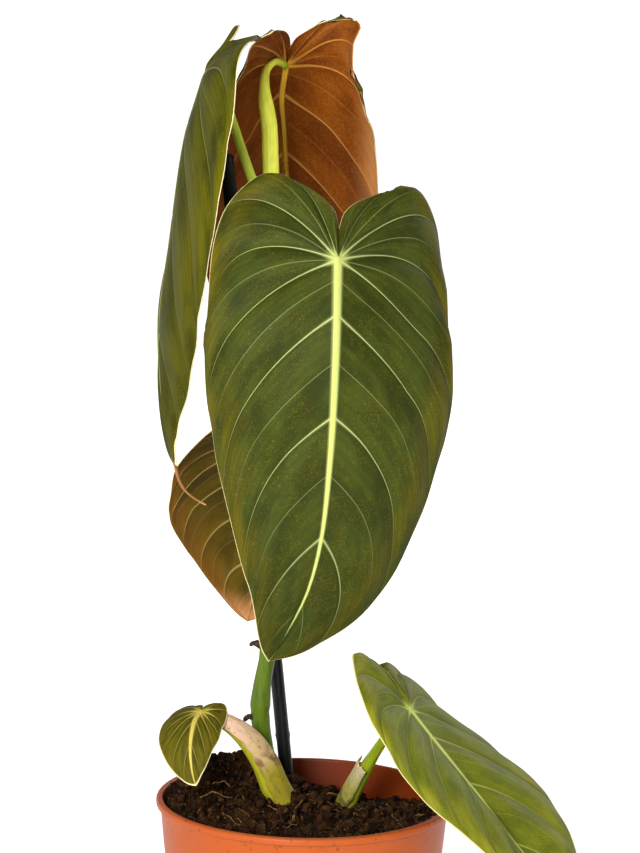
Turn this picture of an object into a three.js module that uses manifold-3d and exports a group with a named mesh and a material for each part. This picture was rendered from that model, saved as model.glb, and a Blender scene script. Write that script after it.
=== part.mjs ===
// A climbing philodendron with velvety heart-shaped leaves, in a 12 cm plastic nursery pot.
// One climbing stem is tied to a coated stake. Four large leaves hang from it, and two small
// shoots rise from the soil. Units are millimetres, +Z is up, and the origin is the middle of
// the pot's underside. The plant's front faces -Y.
import * as THREE from "three";
import { mergeVertices } from "three/addons/utils/BufferGeometryUtils.js";
import Module from "manifold-3d";

const wasm = await Module();
wasm.setup();

// ---------------------------------------------------------------- driving dimensions
const GAP = 0.3; // clearance that keeps touching pieces apart

const pot = {
  height: 108,
  radius: 60, // outside of the rolled lip
  lipHeight: 3.6,
  lipOverhang: 2.2, // how far the lip stands out from the wall under it
  lipRound: 1, // rounding of the lip's edges
  baseRadius: 46.5,
  wall: 1.4,
  floor: 2,
  baseRound: 2, // chamfer where the wall meets the floor
  sides: 48,
  drainHoles: 8,
  drainRadius: 4,
  drainInset: 12.5, // from the edge of the base to the middle of each drain hole
};

// The plant's heights below are measured from a surface this far under the pot's rim, so that the
// plant rises and sinks with the rim.
const plantDatum = 108;

const soil = {
  sides: 32,
  rings: 6,
  belowRim: 12, // mean depth of the surface under the pot's rim
  heaps: [
    { x: -26, y: 26, width: 22, rise: 14 }, // against the back left of the pot
    { x: -44, y: -6, width: 20, rise: 7 },
    { x: -6, y: 10, width: 16, rise: 8 }, // round the foot of the stem
    { x: 30, y: 30, width: 22, rise: -4 }, // a hollow at the back right
  ],
};

const stake = {
  radius: 2.8,
  foot: [1, 24, 34], // the pointed end, deep in the soil
  top: [-35.8, 15.1, 367],
  point: 9, // length of the pointed end
  sides: 12,
};

const limbSides = 10;
const stem = {
  radius: 4,
  footRadius: 4.7,
  endRadius: 3.7,
  nodeSwell: 0.7, // how far the stem swells at each node
  nodes: [0.36, 0.6, 0.74, 0.88], // where the nodes are, as shares of the length
  nodeLength: 0.03, // the length of a swelling, as a share of the stem's
  route: [
    [-3, 12, 60],
    [-8, 11, 104],
    [-15, 7, 121],
    [-18.5, 4, 141],
    [-18, 3, 152],
    [-16, 2.5, 166],
    [-15.5, 3, 190],
    [-18.5, 4, 225],
    [-21, 5, 262],
    [-18, 6, 300],
  ],
};

const tie = { width: 5, thickness: 1.1, heights: [207, 250] };

const dripTip = { radius: 0.9, endRadius: 0.45 }; // the thread that a long blade can end in

const blade = { thickness: 0.8, alongVeins: 20, acrossVeins: 4 };

// The half outline that all the leaves share. v runs along the margin from the notch between the
// basal lobes (0) round the lobe to the tip (1). across is a share of the half width, and along is
// a share of the blade's length, or of the lobe's length where it is negative.
const MARGIN = [
  { v: 0, across: 0, along: -0.38 },
  { v: 0.04, across: 0.04, along: -0.6 },
  { v: 0.08, across: 0.16, along: -0.78 },
  { v: 0.125, across: 0.4, along: -0.96 },
  { v: 0.18, across: 0.61, along: -1 },
  { v: 0.25, across: 0.85, along: -0.62 },
  { v: 0.31, across: 0.945, along: -0.1 },
  { v: 0.375, across: 0.975, along: 0.12 },
  { v: 0.44, across: 1, along: 0.24 },
  { v: 0.5, across: 0.965, along: 0.39 },
  { v: 0.625, across: 0.79, along: 0.57 },
  { v: 0.75, across: 0.53, along: 0.77 },
  { v: 0.875, across: 0.25, along: 0.91 },
  { v: 0.94, across: 0.115, along: 0.967 },
  { v: 1, across: 0, along: 1 },
];

// The direction in which each side vein leaves the midrib, in degrees from straight back, and how
// far it goes that way before it bends along the margin, as [v, value].
const VEIN_HEADING = [
  [0, 0],
  [0.125, 27],
  [0.25, 40],
  [0.375, 69],
  [0.5, 110],
  [0.625, 124],
  [0.75, 129],
  [0.875, 137],
  [1, 175],
];
const VEIN_REACH = [
  [0, 0.6],
  [0.125, 0.84],
  [0.375, 0.88],
  [0.5, 0.67],
  [1, 0.55],
];
const SPINE_POWER = 1.5; // how the starts of the side veins crowd towards the petiole's joint
const LOBE_JOIN = 0.3; // share of the half width over which the two lobes part

// Each leaf: its midrib from the petiole's joint to the tip, and the way its upper face looks at
// both ends. jointVeins is the share of v whose veins all start at the joint. For each half, as
// seen on the upper face with the tip down: its width, its lobe's length, and how it bends away
// from the upper face, in degrees. fold is the bend at the midrib and curl is the further bend out
// to the margin, each at the lobe's end, the joint, halfway and the tip. lobeLift and lobeCurl bend
// the lobe back in the same way.
const leaves = {
  front: {
    midrib: [
      [9, -62, 337],
      [9, -73, 309],
      [8.5, -74, 283],
      [7.5, -69, 259],
      [5, -62, 229],
      [0, -57, 206],
      [-8.5, -51, 187],
      [-15, -45, 175],
    ],
    faceAtJoint: [-0.1, -1, 0.05],
    faceAtTip: [0.2, -1, -0.15],
    jointVeins: 0.5,
    left: {
      width: 50.5,
      lobe: 32.5,
      fold: [-12, -6, 2, -18],
      curl: [13, 12, 27, 5],
      lobeLift: 5,
      lobeCurl: 12,
    },
    right: {
      width: 57,
      lobe: 34,
      fold: [5, 37, 13, -5],
      curl: [85, 16, 34, 50],
      lobeLift: 11,
      lobeCurl: 16,
    },
    petiole: {
      footRadius: 3.2,
      radius: 2.3,
      route: [
        [-18, 3, 227],
        [-14, -8, 245],
        [-6, -24, 283],
        [2, -38, 313],
        [7, -51, 332],
        [9, -62, 337],
      ],
    },
  },
  rear: {
    midrib: [
      [-13.5, 48, 400],
      [-15, 50, 387],
      [-14, 53.5, 375.5],
      [-13, 58, 361],
      [-11, 66, 331.5],
      [-7.5, 67.5, 290],
      [-4, 62, 248],
    ],
    faceAtJoint: [-0.15, 1, 0.1],
    faceAtTip: [0.05, 1, -0.05],
    jointVeins: 0.4,
    left: {
      width: 54,
      lobe: 26,
      fold: [22, 55, 18, 4],
      curl: [100, 9, 49, 18],
      lobeLift: 18,
      lobeCurl: -9,
    },
    right: {
      width: 50,
      lobe: 31,
      fold: [13, 46, 10, 6],
      curl: [80, 16, 41, 20],
      lobeLift: 40,
      lobeCurl: 24,
    },
    petiole: {
      footRadius: 3.6,
      radius: 2.3,
      route: [
        [-18.3, 5.9, 297],
        [-17.3, 7, 315],
        [-17, 8, 330],
        [-17, 10, 349],
        [-18, 13, 361],
        [-19, 18, 378],
        [-21, 23, 390],
        [-21, 29, 398.5],
        [-17.5, 36, 402.5],
        [-14.3, 42, 401.5],
        [-13.5, 48, 400],
      ],
    },
  },
  left: {
    midrib: [
      [-45, 8, 398],
      [-47.5, 9, 389],
      [-51.5, 8, 376],
      [-54, 6.5, 361.5],
      [-57.5, 4, 332],
      [-60.5, 4, 309],
      [-61, 4, 287],
      [-59, 2, 265],
      [-56, -2, 251],
      [-53, -7, 244],
    ],
    faceAtJoint: [-1, -0.05, 0.25],
    faceAtTip: [-1, -0.4, -0.4],
    jointVeins: 0.5,
    left: {
      width: 44,
      lobe: 20,
      fold: [20, 12, 12, 8],
      curl: [15, 25, 25, 15],
      lobeLift: 5,
      lobeCurl: 10,
    },
    right: {
      width: 60,
      lobe: 28,
      fold: [4, -2, -4, 7],
      curl: [-15, 31, 25, 30],
      lobeLift: 10,
      lobeCurl: 43,
    },
    petiole: {
      footRadius: 2.6,
      radius: 1.9,
      route: [
        [-20.5, 4.5, 268],
        [-26, 0, 290],
        [-24, -1, 320],
        [-21, 0, 348],
        [-26, -2, 361],
        [-33, 0, 380],
        [-38, 4, 391],
        [-45, 8, 398],
      ],
    },
    dripTip: [
      [-54.5, -4.5, 247.5],
      [-53, -7, 244],
      [-52, -8, 240],
      [-50, -9, 236],
      [-46.5, -9.5, 232.5],
      [-41, -9.5, 229],
    ],
  },
  lower: {
    midrib: [
      [-18.5, 40, 243],
      [-19, 46.5, 221],
      [-21, 48, 195.5],
      [-25, 42, 170.5],
    ],
    faceAtJoint: [-0.25, 1, 0.1],
    faceAtTip: [-0.1, 1, -0.1],
    jointVeins: 0.5,
    left: {
      width: 36,
      lobe: 18,
      fold: [5, 5, 5, 5],
      curl: [20, 20, 20, 10],
      lobeLift: 5,
      lobeCurl: 20,
    },
    right: {
      width: 45,
      lobe: 18.5,
      fold: [10, 7, 7, 5],
      curl: [37, 21, 27, 8],
      lobeLift: 4,
      lobeCurl: 15,
    },
    petiole: {
      footRadius: 2.4,
      radius: 1.8,
      route: [
        [-15.5, 3, 189],
        [-8, 8, 203],
        [-6, 18, 222],
        [-9, 28, 238],
        [-18.5, 40, 243],
      ],
    },
  },
  small: {
    midrib: [
      [-42, -16, 146.5],
      [-45, -22, 144],
      [-45.5, -27, 140],
      [-46, -31, 135.5],
      [-45, -33, 130.5],
      [-43.5, -35.5, 125.5],
      [-42.5, -39, 122.5],
    ],
    faceAtJoint: [-0.2, -0.55, 0.8],
    faceAtTip: [-0.2, -0.9, 0.15],
    jointVeins: 0.5,
    left: {
      width: 16,
      lobe: 7,
      fold: [5, 6, 6, 8],
      curl: [24, 26, 23, 18],
      lobeLift: 1,
      lobeCurl: 22,
    },
    right: {
      width: 11.5,
      lobe: 9,
      fold: [7, 9, 9, 9],
      curl: [22, 25, 23, 14],
      lobeLift: -7,
      lobeCurl: 14,
    },
    petiole: {
      footRadius: 3.6,
      radius: 1.6,
      route: [
        [-2, 1, 84],
        [-6, 1.5, 98],
        [-9.5, 0.5, 107],
        [-12.5, -1.5, 113],
        [-16, -4, 122],
        [-19.5, -6, 128],
        [-24, -9, 134],
        [-30, -12, 139.5],
        [-37, -14, 143.5],
        [-42, -16, 146.5],
      ],
    },
  },
  right: {
    midrib: [
      [41.5, -20, 150],
      [52.5, -26, 137.5],
      [64, -34, 125],
      [70, -39.5, 118],
      [86, -50, 100.5],
      [105.5, -68.5, 82.5],
    ],
    faceAtJoint: [0.15, 0, 0.8],
    faceAtTip: [0.6, -0.75, 0.75],
    jointVeins: 0.5,
    left: {
      width: 37,
      lobe: 28,
      fold: [-4, -5, -32, -9],
      curl: [6, 10, 53, -2],
      lobeLift: -14,
      lobeCurl: 12,
    },
    right: {
      width: 47,
      lobe: 24,
      fold: [5, 1, -15, -3],
      curl: [17, 24, 45, 11],
      lobeLift: -2,
      lobeCurl: 20,
    },
    petiole: {
      footRadius: 3.2,
      radius: 1.8,
      route: [
        [12, 20, 78],
        [15, 19, 90],
        [17, 17.5, 99],
        [22, 10, 112],
        [28.5, 0, 127],
        [34.5, -10, 139],
        [39, -17, 145],
        [41.5, -20, 150],
      ],
    },
  },
};

// The papery sheaths that wrap part of the way round a petiole: from and to are shares of the
// petiole's length, and wrap is the angle that the sheath covers, centred on the side that it
// faces.
const sheath = { thickness: 0.6, arcSteps: 6, steps: 24 };
const sheaths = {
  small_shoot_sheath: {
    leaf: "small",
    from: 0.3,
    to: 0.72,
    wrap: 190,
    side: [0.7, 0.2, 0.7],
    flare: 0.9,
    tipWrap: 40,
  },
  right_shoot_sheath: {
    leaf: "right",
    from: 0.2,
    to: 0.62,
    wrap: 200,
    side: [-0.8, -0.1, 0.5],
    flare: 1.2,
    tipWrap: 60,
  },
  top_sheath: {
    leaf: "rear",
    from: 0.02,
    to: 0.4,
    wrap: 170,
    side: [-1, 0.3, 0],
    flare: 1,
    tipWrap: 20,
  },
};

// Short dead aerial roots: where each leaves the stem, as a share of the stem's length, which way
// it points, and its size.
const rootStubs = {
  upper_root_stub: { at: 0.455, toward: [-1, -0.3, 0.3], length: 4.5, radius: 1.2 },
  lower_root_stub: { at: 0.335, toward: [-1, -0.4, -0.1], length: 3.5, radius: 1.1 },
};

const colours = {
  pot: 0xb5613a,
  soil: 0x2b1d15,
  stake: 0x1c2625,
  stem: 0x5f7a2e,
  petiole: 0x9fb53a,
  upperFace: 0x3c4a22,
  underFace: 0x9a5522,
  sheath: 0xc9b48e,
  tie: 0x1d1f1d,
  root: 0x4a3526,
};

// ---------------------------------------------------------------- small helpers
const radians = THREE.MathUtils.degToRad;
const clamp = THREE.MathUtils.clamp;
const vector = (p) => new THREE.Vector3(...p);

// The value at x of a smooth curve through [x, y] pairs.
function through(pairs, x) {
  let i = 0;
  while (i < pairs.length - 2 && x > pairs[i + 1][0]) i++;
  const slope = (a, b) => (pairs[b][1] - pairs[a][1]) / (pairs[b][0] - pairs[a][0]);
  const last = pairs.length - 1;
  const startSlope = i > 0 ? slope(i - 1, i + 1) : slope(0, 1);
  const endSlope = i + 1 < last ? slope(i, i + 2) : slope(last - 1, last);
  const h = pairs[i + 1][0] - pairs[i][0];
  const t = clamp((x - pairs[i][0]) / h, 0, 1);
  const t2 = t * t;
  const t3 = t2 * t;
  return (
    (2 * t3 - 3 * t2 + 1) * pairs[i][1] +
    (t3 - 2 * t2 + t) * h * startSlope +
    (3 * t2 - 2 * t3) * pairs[i + 1][1] +
    (t3 - t2) * h * endSlope
  );
}

// A closed body from points and triangles, with the points at one place joined.
function bodyFrom(points, faces) {
  const loose = new THREE.BufferGeometry();
  const flat = faces.flatMap((face) => face.flatMap((i) => points[i].toArray()));
  loose.setAttribute("position", new THREE.Float32BufferAttribute(flat, 3));
  const joined = mergeVertices(loose, 1e-3);
  const index = [];
  for (let i = 0; i < joined.index.count; i += 3) {
    const [a, b, c] = [0, 1, 2].map((k) => joined.index.getX(i + k));
    if (a !== b && b !== c && c !== a) index.push(a, b, c);
  }
  joined.setIndex(index);
  return joined;
}

function solidOf(geometry) {
  const bare = geometry.clone();
  bare.deleteAttribute("normal");
  bare.deleteAttribute("uv");
  const joined = mergeVertices(bare, 1e-3);
  return new wasm.Manifold(
    new wasm.Mesh({
      numProp: 3,
      vertProperties: joined.attributes.position.array,
      triVerts: new Uint32Array(joined.index.array),
    }),
  );
}

function geometryOf(solid) {
  const mesh = solid.getMesh();
  const geometry = new THREE.BufferGeometry();
  geometry.setAttribute("position", new THREE.BufferAttribute(mesh.vertProperties, 3));
  geometry.setIndex(new THREE.BufferAttribute(mesh.triVerts, 1));
  return geometry;
}

const cut = (geometry, ...tools) =>
  geometryOf(
    tools.reduce((solid, tool) => solid.subtract(solidOf(tool)), solidOf(geometry)),
  );

// The largest separate piece of a geometry, which drops slivers that a cut leaves behind.
function largestPiece(geometry) {
  const pieces = solidOf(geometry).decompose();
  pieces.sort((a, b) => b.volume() - a.volume());
  return geometryOf(pieces[0]);
}

// Rings of points, each joined to the next. cap lists the triangles that close the first ring,
// as seen from inside, and the last ring is closed the other way round.
function loft(rings, cap) {
  const count = rings[0].length;
  const end = (rings.length - 1) * count;
  const faces = [];
  for (let i = 0; i + 1 < rings.length; i++) {
    for (let k = 0; k < count; k++) {
      const a = i * count + k;
      const b = i * count + ((k + 1) % count);
      faces.push([a, b, b + count], [a, b + count, a + count]);
    }
  }
  for (const [a, b, c] of cap) faces.push([c, b, a], [a + end, b + end, c + end]);
  return bodyFrom(rings.flat(), faces);
}

const discCap = (sides) => Array.from({ length: sides - 2 }, (_, k) => [0, k + 1, k + 2]);

// Even steps along a smooth curve, each with its point, its direction and two directions across.
function stations(route, steps) {
  const curve = new THREE.CatmullRomCurve3(route.map(vector), false, "centripetal");
  curve.arcLengthDivisions = 400;
  const frames = curve.computeFrenetFrames(steps, false);
  return frames.tangents.map((tangent, i) => ({
    share: i / steps,
    point: curve.getPointAt(i / steps),
    tangent,
    across: frames.normals[i],
    over: frames.binormals[i],
  }));
}

const routeLength = (route) =>
  new THREE.CatmullRomCurve3(route.map(vector), false, "centripetal").getLength();

// A round limb along a route, whose radius is a function of the share of its length. extra makes
// it thicker and longer at both ends, for cutting a clearance.
function limb(route, radiusAt, { stepLength = 6, sides = limbSides, extra = 0 } = {}) {
  const steps = Math.max(3, Math.round(routeLength(route) / stepLength));
  const path = stations(route, steps);
  path[0].point.addScaledVector(path[0].tangent, -extra);
  path[steps].point.addScaledVector(path[steps].tangent, extra);
  const rings = path.map(({ share, point, across, over }) =>
    Array.from({ length: sides }, (_, k) => {
      const angle = (2 * Math.PI * k) / sides;
      const radius = radiusAt(share) + extra;
      return point
        .clone()
        .addScaledVector(across, radius * Math.cos(angle))
        .addScaledVector(over, radius * Math.sin(angle));
    }),
  );
  return loft(rings, discCap(sides));
}

// ---------------------------------------------------------------- the pot
const lipBottom = pot.height - pot.lipHeight;
const wallTopRadius = pot.radius - pot.lipOverhang;
const outerRadiusAt = (z) => THREE.MathUtils.mapLinear(z, 0, lipBottom, pot.baseRadius, wallTopRadius);
const innerRadiusAt = (z) => outerRadiusAt(z) - pot.wall;

function potGeometry() {
  const profile = [
    [0, 0],
    [pot.baseRadius - pot.baseRound, 0],
    [outerRadiusAt(pot.baseRound), pot.baseRound],
    [outerRadiusAt(lipBottom), lipBottom],
    [pot.radius - pot.lipRound / 2, lipBottom],
    [pot.radius, lipBottom + pot.lipRound / 2],
    [pot.radius, pot.height - pot.lipRound],
    [pot.radius - pot.lipRound, pot.height],
    [innerRadiusAt(lipBottom) + pot.lipRound / 2, pot.height],
    [innerRadiusAt(lipBottom), pot.height - pot.lipRound / 2],
    [innerRadiusAt(lipBottom), lipBottom],
    [innerRadiusAt(pot.floor), pot.floor],
    [0, pot.floor],
  ].map(([r, z]) => new THREE.Vector2(r, z));
  const turned = new THREE.LatheGeometry(profile, pot.sides);
  turned.rotateX(Math.PI / 2);
  const holeCircle = pot.baseRadius - pot.drainInset;
  const holes = Array.from({ length: pot.drainHoles }, (_, k) => {
    const angle = (2 * Math.PI * (k + 0.5)) / pot.drainHoles;
    const hole = new THREE.CylinderGeometry(pot.drainRadius, pot.drainRadius, 3 * pot.floor, 16);
    hole.rotateX(Math.PI / 2);
    hole.translate(holeCircle * Math.cos(angle), holeCircle * Math.sin(angle), 0);
    return hole;
  });
  return cut(turned, ...holes);
}

// ---------------------------------------------------------------- the leaves
// A leaf's midrib as even steps, with the upper face's direction turning from the joint to the tip.
const MIDRIB_STEPS = 120;
const midribs = new Map();
function midribOf(leaf) {
  if (!midribs.has(leaf)) {
    const points = leaf.midrib.map(vector);
    const reach = [0];
    for (let i = 1; i < points.length; i++) {
      reach.push(reach[i - 1] + points[i].distanceTo(points[i - 1]));
    }
    const axis = (name) => points.map((p, i) => [reach[i], p[name]]);
    const [xs, ys, zs] = ["x", "y", "z"].map(axis);
    const at = (s) => new THREE.Vector3(through(xs, s), through(ys, s), through(zs, s));
    midribs.set(leaf, { length: reach[reach.length - 1], at });
  }
  return midribs.get(leaf);
}

function midribFrame(leaf, along) {
  const midrib = midribOf(leaf);
  const s = clamp(along, 0, midrib.length);
  const step = midrib.length / MIDRIB_STEPS;
  const before = midrib.at(Math.max(0, s - step));
  const after = midrib.at(Math.min(midrib.length, s + step));
  const tangent = after.sub(before).normalize();
  const face = vector(leaf.faceAtJoint)
    .normalize()
    .lerp(vector(leaf.faceAtTip).normalize(), s / midrib.length);
  face.addScaledVector(tangent, -face.dot(tangent)).normalize();
  return { point: midrib.at(s), tangent, face, side: face.clone().cross(tangent) };
}

// Where a point of the blade lies when it is pressed flat: x across and y along the midrib. v picks
// the vein that it lies on, and r how far out it is from the midrib to the margin.
function pressed(leaf, half, v, r) {
  const length = midribOf(leaf).length;
  const notch = (leaf.left.lobe + leaf.right.lobe) / 2; // both lobes start at one notch
  const lobeAt = (across) =>
    THREE.MathUtils.lerp(notch, half.lobe, THREE.MathUtils.smoothstep(across, 0, LOBE_JOIN));
  const size = (m) => m.along * (m.along < 0 ? lobeAt(m.across) : length);
  const marginX = through(MARGIN.map((m) => [m.v, m.across * half.width]), v);
  const marginY = through(MARGIN.map((m) => [m.v, size(m)]), v);
  const past = clamp((v - leaf.jointVeins) / (1 - leaf.jointVeins), 0, 1);
  const spineY = length * past ** SPINE_POWER;
  const heading = radians(through(VEIN_HEADING, v));
  const bend = through(VEIN_REACH, v) * Math.hypot(marginX, marginY - spineY);
  const q = 1 - r;
  const middle = 2 * r * q;
  const x = middle * bend * Math.sin(heading) + r * r * marginX;
  const y = q * q * spineY + middle * (spineY - bend * Math.cos(heading)) + r * r * marginY;
  return { x, y };
}

// How far a strip goes out and down when it starts at an angle and turns further by its far end.
function bentStrip(start, turn, share, size) {
  const k = Math.abs(turn) < 1e-6 ? 1e-6 : turn;
  return {
    out: (size * (Math.sin(start + k * share) - Math.sin(start))) / k,
    down: (size * (Math.cos(start) - Math.cos(start + k * share))) / k,
  };
}

// A point of the blade's middle surface. sign is -1 on the left half and 1 on the right half.
function bladePoint(leaf, sign, v, r) {
  const half = sign < 0 ? leaf.left : leaf.right;
  const other = sign < 0 ? leaf.right : leaf.left;
  const { x, y } = pressed(leaf, half, v, r);
  const { point, tangent, face, side } = midribFrame(leaf, y);
  const place = y < 0 ? y / half.lobe : y / midribOf(leaf).length;
  const bendAt = (values) => {
    const pairs = [-1, 0, 0.5, 1].map((p, i) => [p, values[i]]);
    return radians(through(pairs, clamp(place, -1, 1)));
  };
  const sideways = bentStrip(bendAt(half.fold), bendAt(half.curl), x / half.width, half.width);
  point.addScaledVector(side, sign * sideways.out).addScaledVector(face, -sideways.down);
  const back = Math.max(0, -y);
  const own = THREE.MathUtils.smoothstep(x / half.width, 0, LOBE_JOIN);
  const shared = (key) => own * half[key] + (1 - own) * 0.5 * (half[key] + other[key]);
  const lobe = shared("lobe");
  const lift = bentStrip(radians(shared("lobeLift")), radians(shared("lobeCurl")), back / lobe, lobe);
  return point.addScaledVector(tangent, -lift.out).addScaledVector(face, -lift.down);
}

// The way the upper face looks at a point of the blade. Where several values of v or r meet at one
// point, they all give the same direction, so that the solid stays closed there.
const FACE_STEP = 0.004;
const FACE_INSET = 0.02;
function halfFace(leaf, sign, v, r) {
  const r0 = clamp(r, FACE_INSET, 1 - FACE_STEP);
  const v0 = clamp(v, FACE_STEP, 1 - 2 * FACE_STEP);
  const here = bladePoint(leaf, sign, v0, r0);
  const along = bladePoint(leaf, sign, v0 + FACE_STEP, r0).sub(here);
  const out = bladePoint(leaf, sign, v0, r0 + FACE_STEP).sub(here);
  return along.cross(out).multiplyScalar(-sign).normalize();
}

function bladeFace(leaf, sign, v, r) {
  if (v > 0 && v < 1 && r > 0) return halfFace(leaf, sign, v, r);
  let near = [FACE_INSET, r];
  if (r === 0) near = [Math.max(v, leaf.jointVeins), FACE_INSET];
  if (v === 1) near = [1 - FACE_INSET, 0.5];
  return halfFace(leaf, -1, ...near).add(halfFace(leaf, 1, ...near)).normalize();
}

// A blade as a closed solid. extra thickens it on both faces, for cutting a clearance.
function bladeGeometry(leaf, extra = 0) {
  const points = [];
  const faces = [];
  const across = blade.acrossVeins;
  const along = blade.alongVeins;
  const depth = blade.thickness / 2 + extra;
  const at = (sheet, sign, i, j) =>
    ((sheet * 2 + (sign > 0 ? 1 : 0)) * (along + 1) + i) * (across + 1) + j;
  for (const sheet of [0, 1]) {
    for (const sign of [-1, 1]) {
      for (let i = 0; i <= along; i++) {
        for (let j = 0; j <= across; j++) {
          const [v, r] = [i / along, j / across];
          const middle = bladePoint(leaf, sign, v, r);
          const face = bladeFace(leaf, sign, v, r);
          points.push(middle.addScaledVector(face, sheet === 0 ? depth : -depth));
        }
      }
    }
  }
  const quad = (a, b, c, d, flip) =>
    faces.push(...(flip ? [[a, c, b], [a, d, c]] : [[a, b, c], [a, c, d]]));
  for (const sign of [-1, 1]) {
    for (let i = 0; i < along; i++) {
      for (let j = 0; j < across; j++) {
        for (const sheet of [0, 1]) {
          const corner = (di, dj) => at(sheet, sign, i + di, j + dj);
          const flip = (sheet === 0) === (sign > 0);
          quad(corner(0, 0), corner(1, 0), corner(1, 1), corner(0, 1), flip);
        }
      }
      const edge = (sheet, di) => at(sheet, sign, i + di, across);
      quad(edge(0, 0), edge(0, 1), edge(1, 1), edge(1, 0), sign > 0);
    }
  }
  return bodyFrom(points, faces);
}

function petioleRadiusAt({ footRadius, radius }, share) {
  const taper = [
    [0, footRadius],
    [0.35, (footRadius + radius) / 2],
    [1, radius],
  ];
  return through(taper, share);
}

function petioleGeometry({ petiole }, extra = 0) {
  return limb(petiole.route, (share) => petioleRadiusAt(petiole, share), { stepLength: 7, extra });
}

function dripTipGeometry(route) {
  const radiusAt = (share) => THREE.MathUtils.lerp(dripTip.radius, dripTip.endRadius, share);
  return limb(route, radiusAt, { stepLength: 3, sides: 8 });
}

// ---------------------------------------------------------------- the stem and the stake
function stemRadiusAt(share) {
  const taper = [
    [0, stem.footRadius],
    [0.3, stem.radius],
    [1, stem.endRadius],
  ];
  const swell = stem.nodes.map((node) => {
    const away = (share - node) / stem.nodeLength;
    return stem.nodeSwell * Math.exp(-away * away);
  });
  return through(taper, share) + Math.max(...swell);
}
const stemGeometry = (extra = 0) => limb(stem.route, stemRadiusAt, { stepLength: 5, extra });

// A turned solid whose axis runs from foot to top.
function turnedAlong(foot, top, profile, sides) {
  const direction = vector(top).sub(vector(foot)).normalize();
  const turned = new THREE.LatheGeometry(profile.map(([r, z]) => new THREE.Vector2(r, z)), sides);
  turned.applyQuaternion(
    new THREE.Quaternion().setFromUnitVectors(new THREE.Vector3(0, 1, 0), direction),
  );
  turned.translate(...foot);
  return turned;
}

function stakeGeometry(extra = 0) {
  const length = vector(stake.top).distanceTo(vector(stake.foot));
  const radius = stake.radius + extra;
  const profile = [
    [0, -extra],
    [0.6 + extra, -extra],
    [radius, stake.point],
    [radius, length - 1],
    [radius - 0.8, length + extra],
    [0, length + extra],
  ];
  return turnedAlong(stake.foot, stake.top, profile, stake.sides);
}

// Where the stem's and the stake's middle lines pass a height.
function stemAt(height) {
  const path = stations(stem.route, 200);
  return path.reduce((best, s) =>
    Math.abs(s.point.z - height) < Math.abs(best.point.z - height) ? s : best,
  ).point;
}
function stakeAt(height) {
  const [foot, top] = [vector(stake.foot), vector(stake.top)];
  return foot.lerp(top, (height - stake.foot[2]) / (stake.top[2] - stake.foot[2]));
}

// A band that passes round the stem and the stake, level with the ground.
function tieGeometry(height) {
  const [a, b] = [stemAt(height), stakeAt(height)];
  const turn = Math.atan2(b.y - a.y, b.x - a.x);
  const span = Math.hypot(b.x - a.x, b.y - a.y);
  const inner = stem.radius + stem.nodeSwell + 2 * GAP;
  const loop = (path, radius) => {
    path.absarc(0, 0, radius, Math.PI / 2, (3 * Math.PI) / 2, false);
    path.absarc(span, 0, radius, -Math.PI / 2, Math.PI / 2, false);
    return path;
  };
  const shape = loop(new THREE.Shape(), inner + tie.thickness);
  shape.holes.push(loop(new THREE.Path(), inner));
  const band = new THREE.ExtrudeGeometry(shape, {
    depth: tie.width,
    bevelEnabled: false,
    curveSegments: 10,
  });
  band.translate(0, 0, -tie.width / 2);
  band.rotateZ(turn);
  band.translate(a.x, a.y, height);
  return band;
}

function rootStubGeometry({ at, toward, length, radius }) {
  const start = stations(stem.route, 100)[Math.round(at * 100)].point;
  const reach = stemRadiusAt(at) + length;
  const end = start.clone().addScaledVector(vector(toward).normalize(), reach);
  const radiusAt = (share) => THREE.MathUtils.lerp(radius, 0.6 * radius, share);
  const root = limb([start.toArray(), end.toArray()], radiusAt, { stepLength: 3, sides: 8 });
  return largestPiece(cut(root, stemGeometry(GAP)));
}

// ---------------------------------------------------------------- the sheaths
function sheathGeometry({ leaf, from, to, wrap, side, flare, tipWrap }) {
  const { petiole } = leaves[leaf];
  const { steps } = sheath;
  const first = Math.round(from * steps);
  const last = Math.round(to * steps);
  const count = sheath.arcSteps;
  const rings = stations(petiole.route, steps)
    .slice(first, last + 1)
    .map(({ share, point, tangent }) => {
      const rise = (share - from) / (to - from);
      const facing = vector(side);
      facing.addScaledVector(tangent, -facing.dot(tangent)).normalize();
      const across = tangent.clone().cross(facing);
      const half = radians(THREE.MathUtils.lerp(wrap, tipWrap, rise ** 3)) / 2;
      const inner = petioleRadiusAt(petiole, share) + 1.5 * GAP + flare * rise ** 2;
      const arc = (radius) =>
        Array.from({ length: count + 1 }, (_, k) => {
          const angle = THREE.MathUtils.lerp(-half, half, k / count);
          return point
            .clone()
            .addScaledVector(facing, radius * Math.cos(angle))
            .addScaledVector(across, radius * Math.sin(angle));
        });
      return [...arc(inner + sheath.thickness), ...arc(inner).reverse()];
    });
  const cap = Array.from({ length: count }, (_, k) => [
    [k, k + 1, 2 * count - k],
    [k, 2 * count - k, 2 * count + 1 - k],
  ]).flat();
  return loft(rings, cap);
}

// ---------------------------------------------------------------- the soil
function soilHeight(x, y) {
  const rise = soil.heaps.map((heap) => {
    const away = Math.hypot(x - heap.x, y - heap.y) / heap.width;
    return heap.rise * Math.exp(-away * away);
  });
  return pot.height - soil.belowRim + rise.reduce((sum, r) => sum + r, 0);
}

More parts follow.
